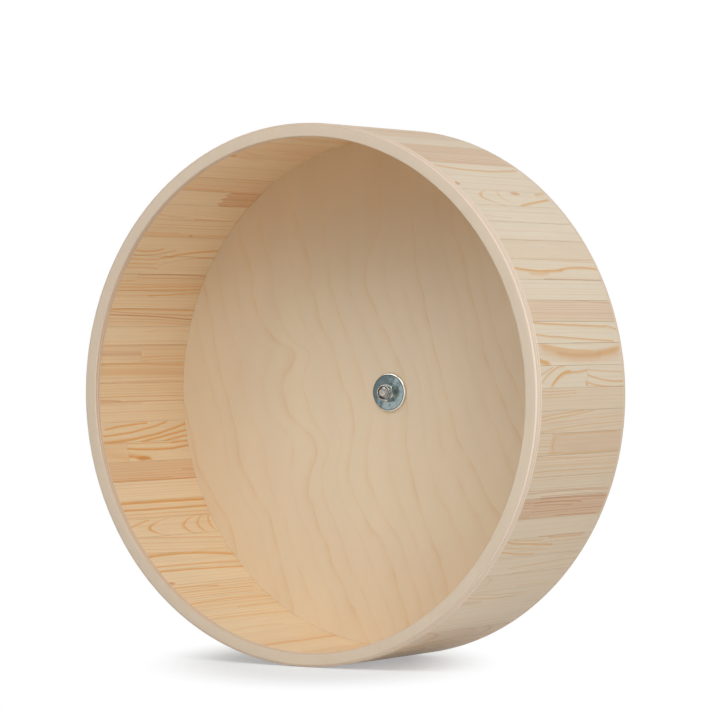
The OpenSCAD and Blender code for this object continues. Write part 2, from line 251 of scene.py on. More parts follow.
@dataclass(frozen=True)
class PineFinish:
    """Sanded bare pine, whose growth rings follow from how each length lies in its log.

    Attributes:
        pale: early wood at its palest.
        deep: early wood at its deepest.
        amber: late wood of a warm stave.
        reddish: late wood of a red stave.
        resin: the heart of a knot or resin spot.
        outside: share of each colour that the outer faces keep: painted light, darker and cooler than the inside,
            for the cooler light outside the drum and the warm bounce inside it.
        roughness: how matt the wood is.
        seed_step: how far apart the noise of two lengths lies.
        outside_light_depths: depths below the outer face at which that painted light begins and is full.
        streak_edge: a drawn line's strength from one side of it to the other.
        ring_edge: late wood's strength from one growth ring to the next.
    """

    pale: Colour = linear(241, 224, 192)
    deep: Colour = linear(231, 199, 158)
    amber: Colour = linear(230, 172, 92)
    reddish: Colour = linear(204, 142, 98)
    resin: Colour = linear(212, 148, 82)
    outside: Colour = (0.79, 0.822, 0.897)
    roughness: float = 0.55
    seed_step: float = 37.7
    outside_light_depths: Spot = (-4.5, -1.5)
    streak_edge: tuple[Spot, ...] = ((0.0, 0.0), (0.15, 0.14), (0.38, 0.55), (0.54, 1.0), (0.68, 0.9), (0.84, 0.0))
    ring_edge: tuple[Spot, ...] = ((0.0, 0.3), (0.05, 0.0), (0.4, 0.04), (0.7, 0.3), (0.9, 0.95), (1.0, 1.0))

    def streaked(self, s: Shader, wood: Value, along: Value, across: Value, fibre: Value) -> Value:
        """Return the wood's colour with its matched streaks drawn in.

        Args:
            s: the material.
            wood: the colour so far.
            along: the point's place along its length.
            across: its place across the length, with the lines' sway.
            fibre: the fibres' noise.

        Returns:
            The colour.
        """
        grain = fibre * 0.5 + 0.75
        for number in range(STREAKS):
            base, slope, bow = s.attribute(f"streak_{number}")
            width, force, red = s.attribute(f"streak_look_{number}")
            start, end, arch = s.attribute(f"streak_span_{number}")
            lead = (across - along) * arch + along
            side = (along - across) * arch + across
            off = (side - ((bow * lead + slope) * lead + base)) / width
            profile = s.curve(off * 0.5 + 0.5, self.streak_edge)
            reach = s.math("ABSOLUTE", width)
            ends = s.spread(lead, start - reach, start + reach) * s.spread(lead, end + reach, end - reach)
            share = s.math("MULTIPLY", profile * ends, force * grain, clamp=True)
            wood = s.mix(share, wood, s.mix(red, self.amber, self.reddish))
        return wood

    def material(self) -> bpy.types.Material:
        """Make the finish that every stave shares.

        Returns:
            The material.
        """
        s = Shader("sanded_pine")
        along, across, depth = s.attribute("grain_at")
        pith_across, pith_below, ring = s.attribute("pith")
        slope_across, slope_below, _ = s.attribute("run")
        late, tone, red = s.attribute("look")
        seed, wave, uneven = s.attribute("odds")
        mark_along, mark_across, _ = s.attribute("mark_at")
        mark_l, mark_w, mark_force = s.attribute("mark_form")

        def noise(
            per_along: float, per_across: float, shift: float, detail: float = 2.0, rough: float = 0.5
        ) -> Value:
            """Return a length's own noise.

            Args:
                per_along: how close it is along the grain.
                per_across: how close it is across the grain.
                shift: which of the length's noises it is.
                detail: how many finer layers it has.
                rough: how strong the finer layers are.

            Returns:
                The noise, from 0 to 1.
            """
            offset = seed * self.seed_step + shift
            at = s.vector(along * per_along + offset, across * per_across + offset, depth * per_across)
            return s.noise(at, detail, rough)

        # A knot or resin spot, which the growth rings pass on both sides
        mark_u, mark_v = (along - mark_along) / mark_l, (across - mark_across) / mark_w
        mark_reach = mark_u * mark_u + mark_v * mark_v
        mark_hill = s.math("EXPONENT", mark_reach * -0.45)

        # Growth rings round the log's middle
        sway, ripple = s.about(noise(0.02, 0.05, 3.0), 1.0) * wave, s.about(noise(0.09, 0.2, 9.0), 0.22) * wave
        from_pith = across - pith_across - slope_across * along + sway + ripple
        away = s.length(from_pith, depth + pith_below + slope_below * along)
        pushed = mark_hill * mark_w * (mark_force * 0.6) + away
        width_odds = s.about(s.noise_at(pushed * 0.11 + seed), 1.0)
        phase = pushed / ring + width_odds * uneven
        ring_chance = s.chance(s.math("FLOOR", phase) + seed)
        late_wood = s.curve(s.math("FRACT", phase), self.ring_edge)
        lines = s.math("MULTIPLY", late_wood, late * (ring_chance * 1.4 + 0.7), clamp=True)

        early = s.mix(tone, self.pale, self.deep)
        wood = s.mix(red * 0.35, early, s.mix(0.5, early, self.reddish))
        wood = s.mix(lines, wood, s.mix(red, self.amber, self.reddish))
        blotch, fibre = noise(0.02, 0.12, 21.0, 3.0), noise(0.12, 3.4, 33.0, 3.0, 0.6)
        wood = s.shade(wood, s.about(blotch, 0.05) + s.about(fibre, 0.045) + 1.0)
        drawn_sway = s.about(noise(0.06, 0.05, 51.0), 0.5) + s.about(fibre, 0.12)
        wood = self.streaked(s, wood, along, across + drawn_sway, fibre)
        heart = s.spread(mark_reach + s.about(fibre, 0.5), 1.3, 0.1)
        wood = s.mix(s.math("MULTIPLY", heart, mark_force, clamp=True), wood, self.resin)
        # Painted light: the outer faces are painted darker and cooler, for the cooler light outside the drum and
        # the warm bounce inside it
        outside_lit_wood = s.mix(1.0, wood, self.outside, "MULTIPLY")
        wood = s.mix(s.spread(depth, *self.outside_light_depths), wood, outside_lit_wood)
        rough = lines * -0.08 + (s.about(fibre, 0.08) + self.roughness)
        return s.finish(Base_Color=wood, Roughness=rough, Normal=s.bump(fibre * 0.8 + lines * -0.3, 0.05))


# Lines of the panel's figure from left to right, each from the top down: places sideways and upward of the axle
PANEL_VEINS: tuple[tuple[Spot, ...], ...] = (
    (
        (-186, 190), (-176, 105), (-170, 75), (-155, 7), (-143, -29), (-133, -65), (-111, -97), (-93, -153),
        (-84, -195),
    ),
    (
        (-143, 190), (-135, 119), (-127, 95), (-123, 71), (-113, 49), (-101, 38), (-88, 33), (-87, 24),
        (-96, 11), (-97, -3), (-90, -19), (-75, -31), (-66, -45), (-74, -65), (-73, -85), (-61, -113),
        (-47, -141), (-21, -189),
    ),
    (
        (-98, 190), (-89, 147), (-73, 103), (-70, 79), (-57, 43), (-41, 3), (-31, -21), (-35, -69), (-7, -113),
        (20, -190),
    ),
    ((-7, 190), (-9, 127), (-19, 99), (-15, 71), (9, 23), (17, -13), (17, -45), (37, -109), (62, -190)),
    ((14, 190), (23, 123), (27, 95), (43, 27), (55, -13), (69, -45), (101, -93), (140, -190)),
    ((44, 190), (61, 115), (77, 63), (93, 15), (113, -29), (150, -110), (190, -190)),
)


@dataclass(frozen=True)
class BirchPlywood:
    """Sanded birch plywood: a veneer on each face and the edges of its layers.

    Attributes:
        name: the material's name.
        front: distance of the front face from the wall.
        layers: number of layers.
        thick: thickness of the board.
        figure: strength of the veneer's figure, from 0 to 1.
        lean: how far the figure leans sideways for each millimetre down.
        veins: the figure's lines that were matched.
        vein_pitch: how far apart the figure repeats beyond the outer veins.
        run_pitch: how far apart the lines lie where no vein was matched.
        line_edge: a line's strength from one line to the next.
        veneer: colour of the veneer.
        painted_top_shade: colour that the veneer turns to toward its upper end, painted shade for the shadow that
            the drum's top wall casts.
        painted_top_shade_from: heights at which that painted shade begins and ends.
        bore_shade: strength of the painted shade on the ring's inner wall, for the shade in the groove where it
            meets the staves.
        figure_dark: colour of the figure's lines.
        layer_pale: colour of a layer's edge along its grain.
        layer_deep: colour of a layer's edge across its grain.
        glue: colour of the glue between the layers.
    """

    name: str
    front: float
    layers: int
    thick: float
    figure: float = 1.0
    lean: float = 0.34
    veins: tuple[tuple[Spot, ...], ...] = ()
    vein_pitch: float = 42.0
    run_pitch: float = 17.0
    line_edge: tuple[Spot, ...] = (
        (0.0, 0.55), (0.08, 0.15), (0.3, 0.0), (0.6, 0.12), (0.84, 0.5), (0.95, 1.0), (1.0, 0.55)
    )
    veneer: Colour = linear(236, 214, 184)
    painted_top_shade: Colour = linear(236, 214, 184)
    painted_top_shade_from: Spot = (40.0, 195.0)
    bore_shade: float = 0.0
    figure_dark: Colour = linear(228, 190, 134)
    layer_pale: Colour = linear(224, 206, 184)
    layer_deep: Colour = linear(192, 160, 132)
    glue: Colour = linear(132, 90, 70)

    def vein_at(self, s: Shader, vein: tuple[Spot, ...], z: Value) -> Value:
        """Return how far sideways a vein lies at a height.

        Args:
            s: the material.
            vein: places on the vein.
            z: the point's place upward.

        Returns:
            The vein's place sideways, in millimetres.
        """
        drum_d = 2 * DRUM_R
        points = [(0.5 - up / drum_d, 0.5 + side / drum_d) for side, up in vein]
        return (s.curve(z * (-1 / drum_d) + 0.5, points, "CARDINAL") - 0.5) * drum_d

    def place_in_figure(self, s: Shader, x: Value, z: Value) -> Value:
        """Return how many veins lie left of a point, with the share of the way to the next.

        Args:
            s: the material.
            x: the point's place sideways, shaken a little.
            z: the point's place upward.

        Returns:
            The number.
        """
        lines = [self.vein_at(s, vein, z) for vein in self.veins]
        shares = [s.math("DIVIDE", x - near, far - near, clamp=True) for near, far in zip(lines, lines[1:])]
        before = s.math("MINIMUM", (x - lines[0]) / self.vein_pitch, 0.0)
        after = s.math("MAXIMUM", (x - lines[-1]) / self.vein_pitch, 0.0)
        return sum([*shares, after], before)

    def material(self) -> bpy.types.Material:
        """Make the finish.

        Returns:
            The material.
        """
        s = Shader(self.name)
        x, y, z = s.place()
        level = (y + self.front) / (self.thick / self.layers)
        layer = s.math("FLOOR", level)

        def noise(per_x: float, per_z: float, detail: float = 2.0, rough: float = 0.5) -> Value:
            """Return a layer's noise, closer or wider sideways and upward."""
            return s.noise(s.vector(x * per_x, layer, z * per_z), detail, rough)

        # The veneer's figure, with every third line strong where veins were matched
        meander = noise(0.02, 0.011, 2.0, 0.45)
        if self.veins:
            shaken = x + s.about(meander, 5.0) + s.about(noise(0.09, 0.03), 2.4)
            phase = self.place_in_figure(s, shaken, z) * 3.0
        else:
            run = x + z * self.lean + s.about(noise(0.007, 0.0042, 1.0), 60.0) + s.about(meander, 14.0)
            phase = run / self.run_pitch
        line, number = s.curve(s.math("FRACT", phase), self.line_edge), s.math("FLOOR", phase)
        strong = s.math("LESS_THAN", s.math("FRACT", number * (1 / 3) + 0.35), 0.1)
        line_force = s.math("MAXIMUM", s.chance(number) * 0.55 + 0.12, strong * 0.95)
        pores, cloud = noise(1.9, 0.22, 2.0, 0.6), noise(0.03, 0.008, 3.0)
        figure = line * line_force + s.spread(pores, 0.62, 0.78) * 0.16
        breaks = s.spread(noise(0.08, 0.05), 0.3, 0.7, 0.4, 1.1)
        share = s.math("MULTIPLY", figure * breaks, 0.42 * self.figure, clamp=True)
        # Painted shade: the veneer deepens toward its upper end, for the shadow that the drum's top wall casts on
        # the panel
        veneer = s.mix(s.spread(z, *self.painted_top_shade_from), self.veneer, self.painted_top_shade)
        veneer = s.mix(share, veneer, self.figure_dark)
        veneer = s.shade(veneer, s.about(cloud, 0.05) + s.about(pores, 0.03) + 1.0)

        # The layers' edges, which turn from end grain to side grain round the disc
        around, reach = s.math("ARCTAN2", z, x), s.length(x, z)
        grain_way = s.math("ABSOLUTE", s.math("SINE", layer * (math.pi / 2) + around))
        edge_noise = s.noise(s.vector(around * reach * 0.35, y * 3.0, layer), 3.0, 0.6)
        end_grain = s.math("ADD", grain_way * 0.6, s.about(edge_noise, 0.3), clamp=True)
        edge = s.mix(end_grain, self.layer_pale, self.layer_deep)
        # Painted shade: the ring's inner wall is darkened toward the glue's colour, for the shade in the groove
        # where it meets the staves
        bore = s.spread(reach, RING_INNER_R + 1.2, RING_INNER_R + 0.4, 0.0, self.bore_shade)
        edge = s.mix(bore, edge, self.glue)
        seam = s.spread(s.math("ABSOLUTE", s.math("FRACT", level) - 0.5), 0.36, 0.48) * 0.7
        inside = s.math("GREATER_THAN", level, 0.06) * s.math("LESS_THAN", level, self.layers - 0.06)
        edge = s.mix(seam * inside, edge, self.glue)
        wood = s.mix(inside, veneer, edge)
        rough = s.about(pores, 0.08) + 0.56 + inside * 0.12
        relief = pores * 0.6 + edge_noise * inside * 0.8
        return s.finish(Base_Color=wood, Roughness=rough, Normal=s.bump(relief, 0.06))


@dataclass(frozen=True)
class Metal:
    """A plated, turned or ground metal, with marks that run round the axle.

    Attributes:
        name: the material's name.
        colour: colour of the metal.
        tint: colour that it turns to in patches.
        roughness: how matt it is.
        rings: strength of the marks that run round the axle.
        scuff: strength of the small dents and scratches.
        lean: how quickly the tint grows toward the lower right, for each millimetre: a painted reflection that
            leaves the upper left darker.
        rim_r: beyond this radius the metal is painted bright, a painted highlight on the rolled rim.
        rim_highlight: colour of that painted highlight.
        rim_line: colour of the dark line painted just inside the bright rim.
    """

    name: str
    colour: Colour
    tint: Colour
    roughness: float = 0.28
    rings: float = 0.5
    scuff: float = 0.5
    lean: float = 0.0
    rim_r: float = 99.0
    rim_highlight: Colour = linear(226, 224, 214)
    rim_line: Colour = linear(44, 52, 54)

    def material(self) -> bpy.types.Material:
        """Make the finish.

        Returns:
            The material.
        """
        s = Shader(self.name)
        x, y, z = s.place()
        reach = s.length(x, z)
        marks = s.noise(s.vector(reach * 3.0, y * 3.0, 0.0), 3.0, 0.6)
        patches = s.noise(s.vector(x * 0.22, y * 0.22, z * 0.22))
        grit = s.noise(s.vector(x * 3.1, y * 3.1, z * 3.1), 3.0, 0.6)
        # Painted reflection: the tint grows toward the lower right, so the face is darker at its upper left
        toward = (z * -0.8 + x) * self.lean
        metal = s.mix(s.spread(patches + toward, 0.35, 0.68), self.colour, self.tint)
        # Painted highlight: the rolled rim is painted bright all round, with a dark line painted just inside it
        metal = s.mix(s.spread(reach, self.rim_r, self.rim_r + 0.3), metal, self.rim_highlight)
        from_line = s.math("ABSOLUTE", reach - (self.rim_r - 0.25))
        metal = s.mix(s.spread(from_line, 0.45, 0.15, 0.0, 0.75), metal, self.rim_line)
        metal = s.shade(metal, s.about(grit, 0.1 * self.scuff) + s.about(marks, 0.08) + 1.0)
        rough = s.about(marks, 0.07) + self.roughness + s.about(grit, 0.08 * self.scuff)
        relief = marks * self.rings + grit * self.scuff
        return s.finish(Base_Color=metal, Metallic=1.0, Roughness=rough, Normal=s.bump(relief, 0.005))


@dataclass(frozen=True)
class Nylon:
    """Moulded nylon with a soft grain.

    Attributes:
        name: the material's name.
        colour: colour of the nylon.
        roughness: how matt it is.
    """

    name: str
    colour: Colour
    roughness: float = 0.4

    def material(self) -> bpy.types.Material:
        """Make the finish.

        Returns:
            The material.
        """
        s = Shader(self.name)
        x, y, z = s.place()
        grain = s.noise(s.vector(x * 2.2, y * 2.2, z * 2.2), 3.0)
        nylon = s.mix(grain, self.colour, tuple(1.25 * part + 0.004 for part in self.colour))
        rough = s.about(grain, 0.1) + self.roughness
        return s.finish(Base_Color=nylon, Roughness=rough, Normal=s.bump(grain, 0.02))


@dataclass
class Shape:
    """Points, faces and carried vectors of a mesh that is being built, in millimetres."""

    points: list[Point] = field(default_factory=list)
    faces: list[tuple[int, ...]] = field(default_factory=list)
    carried: dict[str, list[Point]] = field(default_factory=dict)

    def grid(self, rows: list[list[Point]], close_rows: bool, close_columns: bool) -> None:
        """Add a net of points and its faces.

        Args:
            rows: equally long rows of points.
            close_rows: whether the last row joins the first.
            close_columns: whether each row's last point joins its first.
        """
        start, wide = len(self.points), len(rows[0])
        for row in rows:
            self.points.extend(row)
        for i in range(len(rows) if close_rows else len(rows) - 1):
            near, far = start + i * wide, start + (i + 1) % len(rows) * wide
            for j in range(wide if close_columns else wide - 1):
                k = (j + 1) % wide
                self.faces.append((near + j, near + k, far + k, far + j))

    def turn(self, profile: list[Spot], steps: int, closed: bool = True) -> "Shape":
        """Turn an outline round the axle.

        Args:
            profile: radius and distance in front of the wall of each point.
            steps: number of steps round the axle.
            closed: whether the outline's last point joins its first.

        Returns:
            The shape itself.
        """
        angles = [2 * math.pi * k / steps for k in range(steps)]
        rows = [[(r * math.cos(a), -front, r * math.sin(a)) for a in angles] for r, front in profile]
        self.grid(rows, closed, True)
        return self

    def piece(self, name: str, material: bpy.types.Material, sharp_deg: float = 35.0) -> bpy.types.Object:
        """Make the object.

        Args:
            name: the piece's name.
            material: its material.
            sharp_deg: faces that meet at more than this angle get a sharp edge.

        Returns:
            The object, in metres.
        """
        mesh = bpy.data.meshes.new(name)
        mesh.from_pydata([tuple(v * MM for v in p) for p in self.points], [], self.faces)
        for key, values in self.carried.items():
            layer = mesh.attributes.new(key, "FLOAT_VECTOR", "POINT")
            layer.data.foreach_set("vector", np.array(values, np.float32).ravel())
        mesh.validate()
        mesh.shade_smooth()
        mesh.set_sharp_from_angle(angle=math.radians(sharp_deg))
        mesh.materials.append(material)
        made = bpy.data.objects.new(name, mesh)
        bpy.context.scene.collection.objects.link(made)
        return made


def weld(piece: bpy.types.Object) -> None:
    """Join points that lie on one another and drop faces with no area.

    Args:
        piece: the piece to mend.
    """
    net = bmesh.new()
    net.from_mesh(piece.data)
    bmesh.ops.remove_doubles(net, verts=net.verts, dist=WELD_M)
    bmesh.ops.dissolve_degenerate(net, edges=net.edges, dist=WELD_M)
    bmesh.ops.recalc_face_normals(net, faces=net.faces)
    net.to_mesh(piece.data)
    net.free()


def arc(centre: Spot, r: float, start_deg: float, end_deg: float, steps: int) -> list[Spot]:
    """Return points along a round corner of a profile."""
    angles = [math.radians(start_deg + (end_deg - start_deg) * k / steps) for k in range(steps + 1)]
    return [(centre[0] + r * math.cos(a), centre[1] + r * math.sin(a)) for a in angles]


def fit(piece: bpy.types.Object, body: str, slot: str, *nodes: str) -> None:
    """Tie a piece to its body and hide the solids that it stands for.

    Args:
        piece: the piece.
        body: the body that it moves with.
        slot: not used.
        nodes: the solids that it stands for.
    """
    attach(piece, body)
    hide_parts(*nodes)
    LOG.info("%s rides on %s and stands for %s", piece.name, body, ", ".join(nodes))


@dataclass
class FrontRing:
    """The plywood ring at the open side.

    Attributes:
        outer_edge_r: radius of its front edge on the outside.
        lip_r: radius of both edges of its inner wall.
        plywood: its finish.
    """

    outer_edge_r: float = 2.4
    lip_r: float = 0.8
    plywood: BirchPlywood = BirchPlywood(
        "ring_birch", DRUM_FRONT, 5, DRUM_FRONT - RING_REAR, figure=0.3, lean=0.1, bore_shade=0.05,
        veneer=linear(225, 207, 184), painted_top_shade=linear(225, 207, 184), layer_pale=linear(238, 222, 202),
        layer_deep=linear(212, 186, 162), glue=linear(140, 98, 78),
    )

    def build(self) -> None:
        """Make the ring with its rounded edges."""
        outer, lip = self.outer_edge_r, self.lip_r
        profile = arc((DRUM_R - outer, DRUM_FRONT - outer), outer, 0, 90, 8)
        profile += [((RING_INNER_R + DRUM_R) / 2, DRUM_FRONT)]
        profile += arc((RING_INNER_R + lip, DRUM_FRONT - lip), lip, 90, 180, 5)
        profile += [(RING_INNER_R, (RING_REAR + DRUM_FRONT) / 2)]
        profile += arc((RING_INNER_R + lip, RING_REAR + lip), lip, 180, 270, 5)
        profile += [(DRUM_R, RING_REAR)]
        piece = Shape().turn(profile, ROUND_STEPS).piece("ring", self.plywood.material(), 50.0)
        fit(piece, "wheel", "ring_plywood", "front_ring")


class Sawn(Enum):
    """How a length of pine lies in its log, which sets the lines on its faces."""

    FINE = "close straight lines"
    PLAIN = "hardly any lines"
    BOLD = "few strong lines"
    ARCHED = "nested arches"


def beside(turn_deg: float, middle_deg: float) -> float:
    """Return how far round the drum's outside an angle lies from another, in millimetres."""
    return math.radians((turn_deg - middle_deg + 180) % 360 - 180) * DRUM_R


@dataclass(frozen=True)
class Streak:
    """One strong line of late wood that was matched.

    A place on it is millimetres behind the ring and degrees round the drum.

    Attributes:
        front: a place near its front end.
        middle: a place near its middle.
        rear: a place near its rear end.
        width: how wide it is, in millimetres.
        force: how strong it is, from 0 to 1.
        red: how red it is, from 0 to 1.
        arch: 1 if it bows across the stave rather than along it.
    """

    front: Spot = (0.0, 0.0)
    middle: Spot = (50.0, 0.0)
    rear: Spot = (100.0, 0.0)
    width: float = 1.0
    force: float = 0.0
    red: float = 0.1
    arch: float = 0.0

    def carried(self, number: int, middle_deg: float) -> dict[str, Point]:
        """Return what the finish reads from the mesh.

        Args:
            number: which of the length's streaks it is.
            middle_deg: angle of the stave's middle.

        Returns:
            A vector for each name that the finish uses.
        """
        places = np.array([self.front, self.middle, self.rear], float)
        places[:, 1] = [beside(turn, middle_deg) for turn in places[:, 1]]
        lead, side = (places[:, 1], places[:, 0]) if self.arch else (places[:, 0], places[:, 1])
        bow, slope, base = (float(v) for v in np.polyfit(lead, side, 2))
        return {
            f"streak_{number}": (base, slope, bow),
            f"streak_look_{number}": (self.width, self.force, self.red),
            f"streak_span_{number}": (float(lead.min()), float(lead.max()), self.arch),
        }


@dataclass(frozen=True)
class Knot:
    """A knot or resin spot: its place, half length, half width and strength."""

    at: Spot = (-99.0, 0.0)
    half_l: float = 1.0
    half_w: float = 1.0
    force: float = 0.0


@dataclass(frozen=True)
class Grain:
    """One length of pine. Lengths are millimetres from its stave's front end and middle.

    Attributes:
        pith: place of the log's middle, beside and below the stave's outer face.
        ring: distance between growth rings.
        slope: how far the log's middle moves, beside and below, for each millimetre back.
        late: strength of the dark late wood.
        tone: depth of the pale wood, from 0 to 1.
        red: redness of the late wood, from 0 to 1.
        wave: sway of the lines.
        uneven: how unevenly the rings are spaced.
        knot: a knot or resin spot.
        streaks: the strong lines that were matched.
    """

    pith: Spot = (70.0, 25.0)
    ring: float = 2.3
    slope: Spot = (0.0, 0.0)
    late: float = 0.35
    tone: float = 0.4
    red: float = 0.3
    wave: float = 0.6
    uneven: float = 0.8
    knot: Knot = Knot()
    streaks: tuple[Streak, ...] = ()

    def carried(self, seed: float, middle_deg: float) -> dict[str, Point]:
        """Return what the finish reads from the mesh.

        Args:
            seed: the number that sets this length's own noise.
            middle_deg: angle of the stave's middle.

        Returns:
            A vector for each name that the finish uses.
        """
        knot = self.knot
        values = {
            "pith": (*self.pith, self.ring),
            "run": (*self.slope, 0.0),
            "look": (self.late, self.tone, self.red),
            "odds": (seed, self.wave, self.uneven),
            "mark_at": (knot.at[0], beside(knot.at[1], middle_deg), 0.0),
            "mark_form": (knot.half_l, knot.half_w, knot.force),
        }
        for number, streak in enumerate([*self.streaks, *[Streak()] * STREAKS][:STREAKS]):
            values |= streak.carried(number, middle_deg)
        return values


SAWN = {
    Sawn.FINE: Grain(),
    Sawn.PLAIN: Grain(ring=3.6, late=0.11, wave=1.0),
    Sawn.BOLD: Grain(pith=(60.0, 18.0), ring=6.5, late=0.18, wave=1.4),
    Sawn.ARCHED: Grain(pith=(2.0, 14.0), ring=3.2, slope=(0.0, 0.09), late=0.35, wave=1.0),
}


def sawn(kind: Sawn, *lines: tuple[float, ...], **changes: object) -> Grain:
    """Return a kind of grain with some values and streaks of its own.

    Args:
        kind: how the length was sawn.
        lines: for each streak its three places in one row, then its width, force, red and arch.
        changes: values that differ from the kind's own.

    Returns:
        The grain.
    """
    streaks = tuple(Streak(line[0:2], line[2:4], line[4:6], *line[6:]) for line in lines)
    return replace(SAWN[kind], streaks=streaks, **changes)


